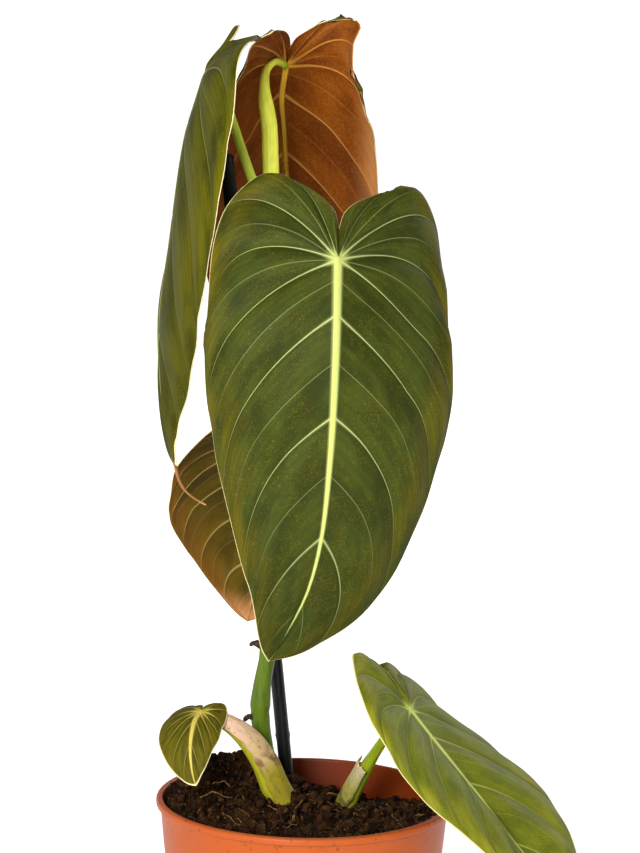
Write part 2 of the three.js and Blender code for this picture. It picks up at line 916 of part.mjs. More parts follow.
// The soil fills the pot from its floor up to a heaped surface that meets the wall all round.
function soilGeometry() {
  const top = pot.height - soil.belowRim;
  const ringAt = (share, height) =>
    Array.from({ length: soil.sides }, (_, k) => {
      const angle = (2 * Math.PI * k) / soil.sides;
      const wall = innerRadiusAt(Math.min(lipBottom, top)) - 2 * GAP;
      const [x, y] = [Math.cos(angle) * wall * share, Math.sin(angle) * wall * share];
      return new THREE.Vector3(x, y, height ?? Math.min(soilHeight(x, y), pot.height + 8));
    });
  const floorZ = pot.floor + GAP;
  const floorShare = (innerRadiusAt(floorZ) - 2 * GAP) / (innerRadiusAt(top) - 2 * GAP);
  const rings = [ringAt(floorShare, floorZ), ringAt(1)];
  for (let i = soil.rings - 1; i >= 1; i--) rings.push(ringAt(i / soil.rings));
  return loft(rings, discCap(soil.sides));
}

// ---------------------------------------------------------------- the assembly
const potted = new THREE.Group();
const plant = new THREE.Group();
plant.position.z = pot.height - plantDatum;
potted.add(plant);

function place(parent, name, geometry, colour, roughness = 0.6) {
  const material = new THREE.MeshStandardMaterial({ color: colour, roughness, metalness: 0 });
  const mesh = new THREE.Mesh(geometry, material);
  mesh.name = name;
  parent.add(mesh);
}

place(potted, "nursery_pot", potGeometry(), colours.pot, 0.45);
const soilCuts = [
  stemGeometry(GAP),
  stakeGeometry(GAP),
  petioleGeometry(leaves.small, sheath.thickness + 3 * GAP),
  petioleGeometry(leaves.right, sheath.thickness + 3 * GAP),
].map((tool) => tool.translate(0, 0, plant.position.z));
place(potted, "potting_soil", largestPiece(cut(soilGeometry(), ...soilCuts)), colours.soil, 0.95);

place(plant, "support_stake", stakeGeometry(), colours.stake, 0.5);
place(plant, "climbing_stem", stemGeometry(), colours.stem, 0.5);
tie.heights.forEach((height, i) => {
  place(plant, `plant_tie_${i + 1}`, tieGeometry(height), colours.tie);
});
for (const [name, stub] of Object.entries(rootStubs)) {
  place(plant, name, rootStubGeometry(stub), colours.root, 0.8);
}
for (const [name, leaf] of Object.entries(leaves)) {
  const plain = solidOf(bladeGeometry(leaf));
  const whole = leaf.dripTip ? plain.add(solidOf(dripTipGeometry(leaf.dripTip))) : plain;
  place(plant, `${name}_leaf_blade`, geometryOf(whole), colours.upperFace, 0.55);
  const clearances = [bladeGeometry(leaf, GAP), stemGeometry(GAP)];
  const petiole = largestPiece(cut(petioleGeometry(leaf), ...clearances));
  place(plant, `${name}_leaf_petiole`, petiole, colours.petiole, 0.4);
}
for (const [name, shape] of Object.entries(sheaths)) {
  place(plant, name, sheathGeometry(shape), colours.sheath, 0.7);
}

export default potted;
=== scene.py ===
# %% [markdown]
# # A potted climbing philodendron
# The plant has four large velvety leaves on a tied stem and two young shoots, in a plastic nursery
# pot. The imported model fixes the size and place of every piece. This lesson builds the looks
# around it: each leaf, stalk, crumb of soil and the pot gets its own fine mesh and its own finish.

import math

import bmesh
import bpy
import numpy as np
from mathutils import Matrix, Vector, noise


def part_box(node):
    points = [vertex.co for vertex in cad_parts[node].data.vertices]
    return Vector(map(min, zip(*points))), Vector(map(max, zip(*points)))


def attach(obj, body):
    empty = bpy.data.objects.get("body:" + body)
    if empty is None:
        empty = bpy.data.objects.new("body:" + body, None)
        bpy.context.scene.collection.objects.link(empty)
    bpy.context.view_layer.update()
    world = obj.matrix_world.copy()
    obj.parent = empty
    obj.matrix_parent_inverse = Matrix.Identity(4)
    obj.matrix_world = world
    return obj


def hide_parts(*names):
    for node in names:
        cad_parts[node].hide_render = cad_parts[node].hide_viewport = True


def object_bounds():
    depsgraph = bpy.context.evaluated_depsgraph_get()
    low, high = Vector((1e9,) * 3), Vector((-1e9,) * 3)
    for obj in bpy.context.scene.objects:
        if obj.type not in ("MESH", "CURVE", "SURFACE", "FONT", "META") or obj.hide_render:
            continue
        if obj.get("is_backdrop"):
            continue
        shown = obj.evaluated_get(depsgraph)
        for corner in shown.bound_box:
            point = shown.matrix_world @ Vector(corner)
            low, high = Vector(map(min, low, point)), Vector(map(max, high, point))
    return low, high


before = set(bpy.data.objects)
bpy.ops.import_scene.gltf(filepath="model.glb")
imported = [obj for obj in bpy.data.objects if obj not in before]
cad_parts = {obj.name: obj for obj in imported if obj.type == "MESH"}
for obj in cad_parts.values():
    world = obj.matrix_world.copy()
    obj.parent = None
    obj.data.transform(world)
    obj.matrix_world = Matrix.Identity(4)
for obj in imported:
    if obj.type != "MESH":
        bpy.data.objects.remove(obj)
packed_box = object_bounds()
MM = 0.001
print("nodes:", len(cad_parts), "packed size:", [round(s, 3) for s in packed_box[1] - packed_box[0]])

# %% [markdown]
# ## Helpers
# Every finish is a Principled shader with a few nodes in front of it. One function adds a node with
# its settings and links, and another turns a colour written as a hex number, as a paint chart
# gives it, into the linear values that the shader works in.

# %% Colours and nodes
def colour(code):
    """An sRGB hex colour as linear RGBA."""
    channels = [int(code[i : i + 2], 16) / 255 for i in (1, 3, 5)]
    linear = [c / 12.92 if c <= 0.04045 else ((c + 0.055) / 1.055) ** 2.4 for c in channels]
    return (*linear, 1.0)


def add(material, kind, settings=None, links=None):
    """Adds a node. settings are its properties or input values, and links feed its inputs."""
    node = material.node_tree.nodes.new(kind)
    for key, value in (settings or {}).items():
        if isinstance(key, str) and hasattr(node, key):
            setattr(node, key, value)
        else:
            node.inputs[key].default_value = value
    for key, socket in (links or {}).items():
        material.node_tree.links.new(socket, node.inputs[key])
    return node


def start_material(name, **shader_values):
    """A material with one Principled shader. It returns the material and the shader."""
    material = bpy.data.materials.new(name)
    material.use_nodes = True
    shader = material.node_tree.nodes["Principled BSDF"]
    for key, value in shader_values.items():
        shader.inputs[key.replace("_", " ")].default_value = value
    return material, shader


# %% [markdown]
# The other helpers work as a painter does. where says where a layer shows, paint lays one layer
# over another, grain gives blotches of a real size, and coat puts it all on the shader. Every
# finish below is then a short list of layers, from the ground colour to the last speck.

# %% Painting
def paint(material, base, layers):
    """Lays colours over a base. Each layer is a share from 0 to 1, its strength and its colour."""
    for share, strength, over in layers:
        if strength != 1:
            weaker = {"operation": "MULTIPLY", 1: strength}
            share = add(material, "ShaderNodeMath", weaker, {0: share}).outputs[0]
        settings = {"data_type": "RGBA"}
        links = {0: share}
        for slot, value in ((6, base), (7, over)):
            if isinstance(value, str):
                settings[slot] = colour(value)
            else:
                links[slot] = value
        base = add(material, "ShaderNodeMix", settings, links).outputs[2]
    return base


def where(material, *places):
    """A share that is 1 where every value has reached its end and 0 where one is at its start.

    Each place is (value, start, end), and in between the share changes smoothly.
    """
    share = None
    for value, start, end in places:
        ends = {3: 0.0, 4: 1.0} if start < end else {3: 1.0, 4: 0.0}
        settings = {"interpolation_type": "SMOOTHSTEP", 1: min(start, end), 2: max(start, end), **ends}
        reached = add(material, "ShaderNodeMapRange", settings, {0: value}).outputs[0]
        if share is None:
            share = reached
        else:
            both = {0: share, 1: reached}
            share = add(material, "ShaderNodeMath", {"operation": "MULTIPLY"}, both).outputs[0]
    return share


def grain(material, size_mm, detail=2.0, stretch=(1, 1, 1)):
    """Noise whose patches are about size_mm across. stretch lengthens them along an axis."""
    place = add(material, "ShaderNodeTexCoord").outputs["Object"]
    scaled = add(material, "ShaderNodeMapping", {"Scale": [1 / s for s in stretch]}, {"Vector": place})
    settings = {"Scale": 1 / (size_mm * MM), "Detail": detail, "Roughness": 0.55}
    return add(material, "ShaderNodeTexNoise", settings, {"Vector": scaled.outputs[0]}).outputs["Fac"]


def coat(material, shader, colours, relief, depth_mm):
    """Gives the shader its colours, and a fine relief whose height of 1 stands for depth_mm."""
    settings = {"Strength": 1.0, "Distance": depth_mm * MM}
    bumps = add(material, "ShaderNodeBump", settings, {"Height": relief})
    material.node_tree.links.new(colours, shader.inputs["Base Color"])
    material.node_tree.links.new(bumps.outputs[0], shader.inputs["Normal"])


print("white as linear light:", colour("#ffffff"))

# %% [markdown]
# Meshes are built from points in millimetres, because that is how the plant is measured. One
# function makes the object in metres, gives it its material, lets it ride on the model and hides
# the plain solid that it stands for.

# %% Pieces from points and faces
def make_piece(name, points, faces, materials, stands_for=None, smooth=True, face_materials=None):
    """A piece made from points in millimetres. stands_for is the plain solid that it hides."""
    mesh = bpy.data.meshes.new(name)
    mesh.from_pydata((np.asarray(points, float) * MM).tolist(), [], faces)
    for material in materials:
        mesh.materials.append(material)
    if face_materials is not None:
        mesh.polygons.foreach_set("material_index", face_materials)
    mesh.polygons.foreach_set("use_smooth", [smooth] * len(mesh.polygons))
    mesh.update()
    piece = bpy.data.objects.new(name, mesh)
    bpy.context.scene.collection.objects.link(piece)
    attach(piece, "root")
    if stands_for:
        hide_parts(stands_for)
    return piece


def face_outward(piece):
    """Turns every face of a closed mesh to look out."""
    work = bmesh.new()
    work.from_mesh(piece.data)
    bmesh.ops.recalc_face_normals(work, faces=work.faces)
    work.to_mesh(piece.data)
    work.free()


def ring_faces(rings, count, closed=True):
    """Quads between rings of count points. An open strip leaves out the last side."""
    faces = []
    for i in range(rings - 1):
        for k in range(count if closed else count - 1):
            a, b = i * count + k, i * count + (k + 1) % count
            faces.append((a, b, b + count, a + count))
    return faces


print("a ring of 4 points joined to the next:", ring_faces(2, 4))

# %% [markdown]
# ## Camera
# The camera stands a little above the top leaf's middle and looks down at the pot, with a long lens
# that keeps the leaves in proportion. The object's box gives no angle, so its place is set here.

# %% Camera
CAMERA_PLACE = (0.0035, -1.2819, 0.4765)
LOOKS_DOWN = math.radians(9.57)
LEANS = math.radians(1.11)
LENS = 137.8

camera_data = bpy.data.cameras.new("camera")
camera_data.lens = LENS
camera_data.sensor_width = 36
camera_data.clip_end = 60
camera = bpy.data.objects.new("camera", camera_data)
bpy.context.scene.collection.objects.link(camera)
upright = Matrix.Rotation(math.radians(90) - LOOKS_DOWN, 4, "X")
camera.matrix_world = Matrix.Translation(CAMERA_PLACE) @ upright @ Matrix.Rotation(LEANS, 4, "Z")
bpy.context.scene.camera = camera
print("camera looks down", round(math.degrees(LOOKS_DOWN), 2), "degrees")

# %% [markdown]
# ## Floor
# In a studio a plant often stands on a light table: a sheet of opal acrylic that glows softly from
# below, so that the ground has hardly any shadow and fades into a bright horizon. A white floor lit
# from above would go grey at the back, so here the floor glows a little, more so further away. The
# plain view transform keeps the white of the room white.

# %% Floor
HALF_FLOOR = 30.0
GLOW_FROM, GLOW_TO = 0.2, 1.6
NEAR_GLOW, FAR_GLOW = 0.25, 0.8

bpy.context.scene.view_settings.view_transform = "Standard"
floor_mesh = bpy.data.meshes.new("studio_floor")
corners = [(x * HALF_FLOOR, y * HALF_FLOOR, 0) for x, y in ((-1, -1), (1, -1), (1, 1), (-1, 1))]
floor_mesh.from_pydata(corners, [], [(0, 1, 2, 3)])
floor = bpy.data.objects.new("studio_floor", floor_mesh)
bpy.context.scene.collection.objects.link(floor)
table, table_shader = start_material("opal_light_table", Roughness=0.9, Specular_IOR_Level=0.1)
table_shader.inputs["Emission Color"].default_value = colour("#ffffff")
spot = add(table, "ShaderNodeTexCoord").outputs["Object"]
distance = add(table, "ShaderNodeVectorMath", {"operation": "LENGTH"}, {0: spot}).outputs["Value"]
glow = add(table, "ShaderNodeMapRange", {1: GLOW_FROM, 2: GLOW_TO, 3: NEAR_GLOW, 4: FAR_GLOW}, {0: distance})
table.node_tree.links.new(glow.outputs[0], table_shader.inputs["Emission Strength"])
opal = paint(table, "#f6f6f5", [(grain(table, 40), 1, "#fafaf9")])
table.node_tree.links.new(opal, table_shader.inputs["Base Color"])
floor_mesh.materials.append(table)
floor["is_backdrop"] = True
print("floor:", 2 * HALF_FLOOR, "m square")

# %% [markdown]
# ## Light
# The room is white all round, brightest at the horizon. One softbox high on the left models the
# leaves, a weak one on the right keeps that side open, and one behind lights the edges. Area lamps
# give the soft edges that a studio's cloth boxes give.

# %% Light
ROOM_LIGHT = 0.34
HORIZON_LIGHT = 1.1
HORIZON_EDGES = (0.06, 0.16)
PLANT_MIDDLE = (0, 0, 0.22)

world = bpy.data.worlds.new("white_room")
world.use_nodes = True
direction = add(world, "ShaderNodeTexCoord").outputs["Generated"]
steepness = add(world, "ShaderNodeSeparateXYZ", links={0: direction}).outputs["Z"]
steepness = add(world, "ShaderNodeMath", {"operation": "ABSOLUTE"}, {0: steepness}).outputs[0]
band = {1: HORIZON_EDGES[0], 2: HORIZON_EDGES[1], 3: HORIZON_LIGHT, 4: ROOM_LIGHT}
strength = add(world, "ShaderNodeMapRange", band, {0: steepness})
background = world.node_tree.nodes["Background"]
background.inputs["Color"].default_value = colour("#ffffff")
world.node_tree.links.new(strength.outputs[0], background.inputs["Strength"])
bpy.context.scene.world = world


def add_softbox(name, place, size, watts):
    """A square lamp that looks at the middle of the plant."""
    lamp = bpy.data.lights.new(name, "AREA")
    lamp.size = size
    lamp.energy = watts
    softbox = bpy.data.objects.new(name, lamp)
    bpy.context.scene.collection.objects.link(softbox)
    softbox.location = place
    softbox.rotation_euler = (Vector(PLANT_MIDDLE) - Vector(place)).to_track_quat("-Z", "Y").to_euler()


add_softbox("key_softbox", (-0.42, -1.5, 0.7), 0.55, 33)
add_softbox("fill_softbox", (1.3, -0.9, 0.9), 1.0, 1)
add_softbox("back_softbox", (0.8, 1.2, 1.0), 0.8, 14)
print("softboxes:", [light.name for light in bpy.data.lights])

# %% [markdown]
# ## Curves
# Stems and stalks follow routes given as a few points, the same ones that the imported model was
# made from. Two curves are needed: one through number pairs, for widths and bends, and one through
# points in space, which spreads its steps evenly along its length.

# %% Curves through numbers
def through(pairs, x):
    """The value at x of a smooth curve through (x, y) pairs."""
    xs, ys = np.array(pairs, float).T
    last = len(xs) - 1
    x = np.clip(np.asarray(x, float), xs[0], xs[-1])
    i = np.clip(np.searchsorted(xs, x, side="left") - 1, 0, last - 1)
    slopes = np.empty(last + 1)
    slopes[1:-1] = (ys[2:] - ys[:-2]) / (xs[2:] - xs[:-2])
    slopes[0] = (ys[1] - ys[0]) / (xs[1] - xs[0])
    slopes[-1] = (ys[-1] - ys[-2]) / (xs[-1] - xs[-2])
    h = xs[i + 1] - xs[i]
    t = (x - xs[i]) / h
    rise = (2 * t**3 - 3 * t**2 + 1) * ys[i] + (3 * t**2 - 2 * t**3) * ys[i + 1]
    return rise + h * ((t**3 - 2 * t**2 + t) * slopes[i] + (t**3 - t**2) * slopes[i + 1])


def smooth_step(x, low, high):
    """0 below low and 1 above high, with a smooth rise between."""
    t = np.clip((np.asarray(x, float) - low) / (high - low), 0, 1)
    return t * t * (3 - 2 * t)


def unit(v):
    """Vectors with their lengths made 1."""
    v = np.asarray(v, float)
    return v / np.linalg.norm(v, axis=-1, keepdims=True)


print("halfway up a smooth rise:", float(smooth_step(0.5, 0, 1)))

# %% Curves through space
def walk(route, steps):
    """Even steps along a smooth curve through the route's points: places and directions."""
    p = np.array(route, float)
    p = np.vstack([2 * p[0] - p[1], p, 2 * p[-1] - p[-2]])
    dense = []
    for i in range(1, len(p) - 2):
        gaps = [np.linalg.norm(p[i + k] - p[i + k - 1]) ** 0.5 for k in (0, 1, 2)]
        near = (p[i] - p[i - 1]) / gaps[0] - (p[i + 1] - p[i - 1]) / (gaps[0] + gaps[1])
        near = (near + (p[i + 1] - p[i]) / gaps[1]) * gaps[1]
        far = (p[i + 1] - p[i]) / gaps[1] - (p[i + 2] - p[i]) / (gaps[1] + gaps[2])
        far = (far + (p[i + 2] - p[i + 1]) / gaps[2]) * gaps[1]
        t = np.linspace(0, 1, 60, endpoint=i == len(p) - 3)[:, None]
        cubic = p[i] + near * t + (3 * (p[i + 1] - p[i]) - 2 * near - far) * t**2
        dense.append(cubic + (2 * (p[i] - p[i + 1]) + near + far) * t**3)
    dense = np.vstack(dense)
    reach = np.r_[0, np.cumsum(np.linalg.norm(np.diff(dense, axis=0), axis=1))]
    even = np.linspace(0, reach[-1], steps + 1)
    places = np.stack([np.interp(even, reach, dense[:, k]) for k in range(3)], -1)
    directions = unit(np.gradient(places, axis=0))
    return places, directions, reach[-1]


def sides_of(directions):
    """Two directions across the curve at each step, turned as little as possible along it."""
    first = np.cross(directions[0], (0, 0, 1) if abs(directions[0][2]) < 0.9 else (1, 0, 0))
    across = [unit(first)]
    for direction in directions[1:]:
        across.append(unit(across[-1] - direction * np.dot(across[-1], direction)))
    across = np.array(across)
    return across, np.cross(directions, across)


print("a route 100 long, walked:", walk([(0, 0, 0), (0, 0, 50), (0, 0, 100)], 4)[0][:, 2])

# %% [markdown]
# ## The nursery pot
# A nursery pot is blow-thin polypropylene, moulded in terracotta orange. It could be a scaled
# cylinder, but its look lives in the section: a rolled lip with soft edges, a step where pots nest,
# a thin wall and a drained base. So the section is drawn once and turned on a wheel of 128 steps.

# %% Pot sizes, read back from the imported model
pot_low, pot_high = (np.array(c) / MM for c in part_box("nursery_pot"))
pot_height = pot_high[2]
pot_radius = pot_high[0]
LIP_HEIGHT = 3.1
LIP_OVERHANG = 1.7
POT_BASE_RADIUS = 46.5
POT_WALL = 1.0
POT_FLOOR = 2.0
lip_bottom = pot_height - LIP_HEIGHT
wall_top_radius = pot_radius - LIP_OVERHANG
print("pot", round(pot_height, 1), "mm high and", round(2 * pot_radius, 1), "mm across")


def wall_radius(z):
    """Outside radius of the tapered wall at a height."""
    return POT_BASE_RADIUS + (wall_top_radius - POT_BASE_RADIUS) * z / lip_bottom


def arc(centre, radius, start, end, steps):
    """Points of a rounded corner in the section, angles in degrees."""
    angles = np.radians(np.linspace(start, end, steps))
    return [(centre[0] + radius * math.cos(a), centre[1] + radius * math.sin(a)) for a in angles]


# %% [markdown]
# Terracotta-coloured polypropylene, injection-moulded: a soft satin gloss with a slight waviness
# from cooling. Soil dust clings to it near the rim, in spots a few millimetres across. The wall's
# inner face is painted deeper, as painted shade where the rim and the leaves shadow the inside.
# Object coordinates tell the two faces apart: a point of the inner face is nearer the axis than
# the middle of the wall.

# %% Pot material
WAVE_MM = 9
DUST_MM = 3.5
DUSTY_HEIGHTS = (0.088, 0.107)
INNER_SHADE_EDGE = 0.0003


def inner_wall(material, place, height):
    """1 on the inner face of the wall and 0 on the outer one."""
    level = add(material, "ShaderNodeVectorMath", {"operation": "MULTIPLY", 1: (1, 1, 0)}, {0: place})
    from_axis = add(material, "ShaderNodeVectorMath", {"operation": "LENGTH"}, {0: level.outputs[0]})
    taper = (wall_top_radius - POT_BASE_RADIUS) / lip_bottom
    middle_at = {"operation": "MULTIPLY_ADD", 1: taper, 2: (POT_BASE_RADIUS - 0.55 * POT_WALL) * MM}
    wall_middle = add(material, "ShaderNodeMath", middle_at, {0: height}).outputs[0]
    gap = {0: wall_middle, 1: from_axis.outputs["Value"]}
    inward = add(material, "ShaderNodeMath", {"operation": "SUBTRACT"}, gap).outputs[0]
    return where(material, (inward, 0.0, INNER_SHADE_EDGE))


def make_pot_plastic():
    """Satin orange plastic, dusty near the rim, with painted shade on the inner face."""
    material, shader = start_material(
        "terracotta_polypropylene", Roughness=0.42, IOR=1.49, Specular_IOR_Level=0.2)
    wave = grain(material, WAVE_MM, 2)
    place = add(material, "ShaderNodeTexCoord").outputs["Object"]
    height = add(material, "ShaderNodeSeparateXYZ", links={0: place}).outputs["Z"]
    contrast = {"operation": "MULTIPLY_ADD", 1: 1.6, 2: -0.42}
    dust = add(material, "ShaderNodeMath", contrast, {0: grain(material, DUST_MM, 6)}).outputs[0]
    colours = paint(material, "#a24818", [
        (wave, 1, "#ac511c"),
        (where(material, (dust, 0.52, 0.66), (height, *DUSTY_HEIGHTS)), 0.6, "#5a2c12"),
        # Painted shade on the inner face of the wall, where the rim and the leaves shadow it.
        (inner_wall(material, place, height), 0.8, "#581a02"),
    ])
    coat(material, shader, colours, wave, 0.05)
    return material


pot_plastic = make_pot_plastic()
print(pot_plastic.name, "nodes:", len(pot_plastic.node_tree.nodes))

# %% [markdown]
# The section starts on the axis under the floor, goes out to the foot ring, up the wall past the
# nesting step, round the lip and down inside again.

# %% Pot section
POT_SIDES = 128
lip_edge = wall_radius(lip_bottom) - POT_WALL
pot_section = [
    (0, 0),
    (POT_BASE_RADIUS - 7, 0),
    (POT_BASE_RADIUS - 6, 0.8),
    *arc((POT_BASE_RADIUS - 3.6, 0.8), 0.8, 180, 270, 4),
    *arc((POT_BASE_RADIUS - 1.8, 1.8), 1.8, 270, 350, 6),
    (wall_radius(14), 14),
    (wall_radius(15) + 0.35, 15),
    (wall_radius(60) + 0.3, 60),
    (wall_radius(90) + 0.2, 90),
    (wall_radius(lip_bottom - 1.5), lip_bottom - 1.5),
    *arc((wall_top_radius + 0.7, lip_bottom - 0.7), 0.7, 180, 90, 4),
    *arc((pot_radius - 0.8, lip_bottom + 0.8), 0.8, 270, 360, 6),
    *arc((pot_radius - 1.2, pot_height - 1.2), 1.2, 0, 90, 7),
    *arc((lip_edge + 0.7, pot_height - 0.7), 0.7, 90, 180, 6),
    (lip_edge - 0.1, lip_bottom - 2),
    (wall_radius(60) - POT_WALL, 60),
    (wall_radius(POT_FLOOR) - POT_WALL, POT_FLOOR),
    (0, POT_FLOOR),
]


def turn(section, sides):
    """Points and faces of a section turned about the Z axis. It starts and ends on the axis."""
    inner = section[1:-1]
    points = [(0, 0, section[0][1])]
    for radius, z in inner:
        for k in range(sides):
            angle = 2 * math.pi * k / sides
            points.append((radius * math.cos(angle), radius * math.sin(angle), z))
    points.append((0, 0, section[-1][1]))
    faces = [tuple(i + 1 for i in face) for face in ring_faces(len(inner), sides)]
    last = len(points) - 1
    for k in range(sides):
        faces.append((0, 1 + (k + 1) % sides, 1 + k))
        faces.append((last, last - sides + k, last - sides + (k + 1) % sides))
    return points, faces


# %% [markdown]
# Water leaves through eight holes in the floor. Cutting them with pins and a Boolean keeps the
# section simple, and the pins are deleted afterwards.

# %% Drain holes and pot mesh
DRAIN_HOLES = 8
DRAIN_RING = 34
DRAIN_RADIUS = 4


def drain_pins():
    """Upright pins in a ring, to cut the drain holes with."""
    work = bmesh.new()
    radius = DRAIN_RADIUS * MM
    for k in range(DRAIN_HOLES):
        angle = 2 * math.pi * (k + 0.5) / DRAIN_HOLES
        place = Vector((DRAIN_RING * math.cos(angle), DRAIN_RING * math.sin(angle), POT_FLOOR / 2)) * MM
        bmesh.ops.create_cone(work, segments=28, radius1=radius, radius2=radius, depth=2 * radius,
                              matrix=Matrix.Translation(place), cap_ends=True)
    mesh = bpy.data.meshes.new("drain_pins")
    work.to_mesh(mesh)
    work.free()
    pins = bpy.data.objects.new("drain_pins", mesh)
    bpy.context.scene.collection.objects.link(pins)
    return pins


def apply_modifiers(piece):
    """Makes the piece's mesh what its modifiers give."""
    view = bpy.context.evaluated_depsgraph_get()
    made = bpy.data.meshes.new_from_object(piece.evaluated_get(view))
    piece.modifiers.clear()
    piece.data = made


pot_points, pot_faces = turn(pot_section, POT_SIDES)
pot_piece = make_piece("pot", pot_points, pot_faces, [pot_plastic], "nursery_pot")
face_outward(pot_piece)
pins = drain_pins()
cut = pot_piece.modifiers.new("drain", "BOOLEAN")
cut.object = pins
cut.operation = "DIFFERENCE"
apply_modifiers(pot_piece)
bpy.data.objects.remove(pins)
print("pot faces:", len(pot_piece.data.polygons))

# %% [markdown]
# ## Potting soil
# The soil is coarse peat with bark: dark lumps, red-brown bark chips, pale fibres and a few
# yellowish grains, heaped higher on the left. A bumpy sheet alone would look like mud, because the
# eye looks for crumbs with gaps under them. So the surface is a lumpy sheet, and over it lie
# thousands of small crumbs, each a roughened ball, joined into one mesh.

# %% The heaped surface
SOIL_BELOW_RIM = 7
SOIL_CLEARANCE = 2.0
HEAPS = [(-28, 20, 24, 15), (-46, -2, 18, 10), (-10, 4, 16, 4.5), (22, 42, 28, -8)]
WALL_TOP = wall_radius(pot_height - SOIL_BELOW_RIM) - SOIL_CLEARANCE
EDGE_BELOW_RIM = 1.8
SLOPE_FROM_RIM = 0.8
BIG_LUMPS = {"size": 9, "height": 2.8}
SMALL_LUMPS = {"size": 2.6, "height": 1.7}


def soil_height(x, y):
    """Height of the heaped surface. Each heap is x, y, width and rise."""
    rise = sum(h * np.exp(-((x - hx) ** 2 + (y - hy) ** 2) / w**2) for hx, hy, w, h in HEAPS)
    slope_from_rim = pot_height - EDGE_BELOW_RIM + SLOPE_FROM_RIM * (WALL_TOP - np.hypot(x, y))
    return np.minimum(pot_height - SOIL_BELOW_RIM + rise, slope_from_rim)


def soil_lumps(x, y):
    """Lumps of two sizes that roughen the surface."""
    big = noise.fractal(Vector((x / BIG_LUMPS["size"], y / BIG_LUMPS["size"], 1.7)), 0.9, 2.0, 3)
    small = noise.fractal(Vector((x / SMALL_LUMPS["size"], y / SMALL_LUMPS["size"], 7.1)), 0.8, 2.0, 3)
    return BIG_LUMPS["height"] * big + SMALL_LUMPS["height"] * small


print("soil at the middle:", round(float(soil_height(0, 0)), 1), "mm high")

# %% [markdown]
# Peat is matt: nearly black where it is moist and warmer brown where it has dried, so patches of
# both show on every lump. Pine bark is redder, coconut fibre is straw-coloured, and the pale grains
# are of sand. None of them shines, so the roughness is high and the specular level is low.

# %% Soil materials
def make_crumbs(name, dark, mid, light, size_mm):
    """Matt crumbs with patches of size_mm and lighter grains about a third of that."""
    material, shader = start_material(name, Roughness=0.95, Specular_IOR_Level=0.05)
    patches = where(material, (grain(material, size_mm, 4), 0.4, 0.62))
    fine = where(material, (grain(material, size_mm * 0.35, 3), 0.55, 0.75))
    colours = paint(material, dark, [(patches, 1, mid), (fine, 0.6, light)])
    coat(material, shader, colours, fine, 0.2)
    return material


peat = make_crumbs("moist_peat", "#120a05", "#35210f", "#7a5632", 5)
bark = make_crumbs("pine_bark", "#2e1a0e", "#432a18", "#70492c", 3)
fibre = make_crumbs("coir_fibre", "#5c4024", "#86663c", "#b89a66", 4)
grit = make_crumbs("pale_grit", "#8a7a3a", "#a89a52", "#cfc58c", 2)
print("soil materials:", [m.name for m in (peat, bark, fibre, grit)])

# %% [markdown]
# The sheet of soil is a disc of rings whose points are lifted by the heaps and lumps. It goes on
# down the wall and closes below, so that nothing shows through from the side of the pot.

# %% Soil body
SOIL_RINGS, SOIL_SIDES = 84, 150
SOIL_FOOT = 2.4


def soil_points():
    """Rings from the middle out to the wall, then two rings under the soil."""
    corners = [2 * math.pi * k / SOIL_SIDES for k in range(SOIL_SIDES)]
    points = []
    for ring in range(SOIL_RINGS + 1):
        share = ring / SOIL_RINGS
        settle = 1 - smooth_step(share, 0.96, 1.0) * 0.6
        for angle in corners:
            x, y = WALL_TOP * share * math.cos(angle), WALL_TOP * share * math.sin(angle)
            points.append((x, y, soil_height(x, y) + soil_lumps(x, y) * settle))
    foot_radius = wall_radius(3) - SOIL_CLEARANCE
    for radius in (foot_radius, foot_radius / 2):
        points += [(radius * math.cos(angle), radius * math.sin(angle), SOIL_FOOT) for angle in corners]
    return points


def soil_body():
    """The lumpy sheet as a closed mesh."""
    faces = ring_faces(SOIL_RINGS + 3, SOIL_SIDES)[SOIL_SIDES:]
    faces.append(tuple(range(SOIL_SIDES, 2 * SOIL_SIDES))[::-1])
    last = (SOIL_RINGS + 2) * SOIL_SIDES
    faces.append(tuple(last + k for k in range(SOIL_SIDES)))
    piece = make_piece("soil", soil_points(), faces, [peat], "potting_soil")
    loose = bmesh.new()
    loose.from_mesh(piece.data)
    bmesh.ops.delete(loose, geom=[v for v in loose.verts if not v.link_faces], context="VERTS")
    loose.to_mesh(piece.data)
    loose.free()
    face_outward(piece)
    return piece


print("soil faces:", len(soil_body().data.polygons))

# %% [markdown]
# Crumbs are scattered by a seeded generator, so that every run gives the same soil. Each kind of
# crumb has a size range and a share: peat crumbs are many and small, bark chips are flat.

# %% Crumb shapes
CRUMB_LUMPS = 2.6
CRUMB_ROUGHNESS = 0.55


def rough_ball(detail, seed, flat):
    """Points and faces of a roughened ball about 1 across, flattened by flat."""
    work = bmesh.new()
    bmesh.ops.create_icosphere(work, subdivisions=detail, radius=0.5)
    for vertex in work.verts:
        lump = noise.noise(vertex.co * CRUMB_LUMPS + Vector((seed * 7.3, 0, 0)))
        vertex.co *= 1 + CRUMB_ROUGHNESS * lump
        vertex.co.z *= flat
    points = np.array([v.co[:] for v in work.verts])
    faces = np.array([[v.index for v in face.verts] for face in work.faces])
    work.free()
    return points, faces


def turned(generator):
    """A random rotation matrix."""
    q = generator.normal(size=4)
    w, x, y, z = q / np.linalg.norm(q)
    return np.array([
        [1 - 2 * (y * y + z * z), 2 * (x * y - z * w), 2 * (x * z + y * w)],
        [2 * (x * y + z * w), 1 - 2 * (x * x + z * z), 2 * (y * z - x * w)],
        [2 * (x * z - y * w), 2 * (y * z + x * w), 1 - 2 * (x * x + y * y)],
    ])


# %% Scatter the crumbs
CRUMB_SHAPES = 5


def soil_top(x, y, radius):
    """Height of the lumpy surface, flatter where it meets the wall."""
    return soil_height(x, y) + soil_lumps(x, y) * (0.4 if radius > 0.96 * WALL_TOP else 1)


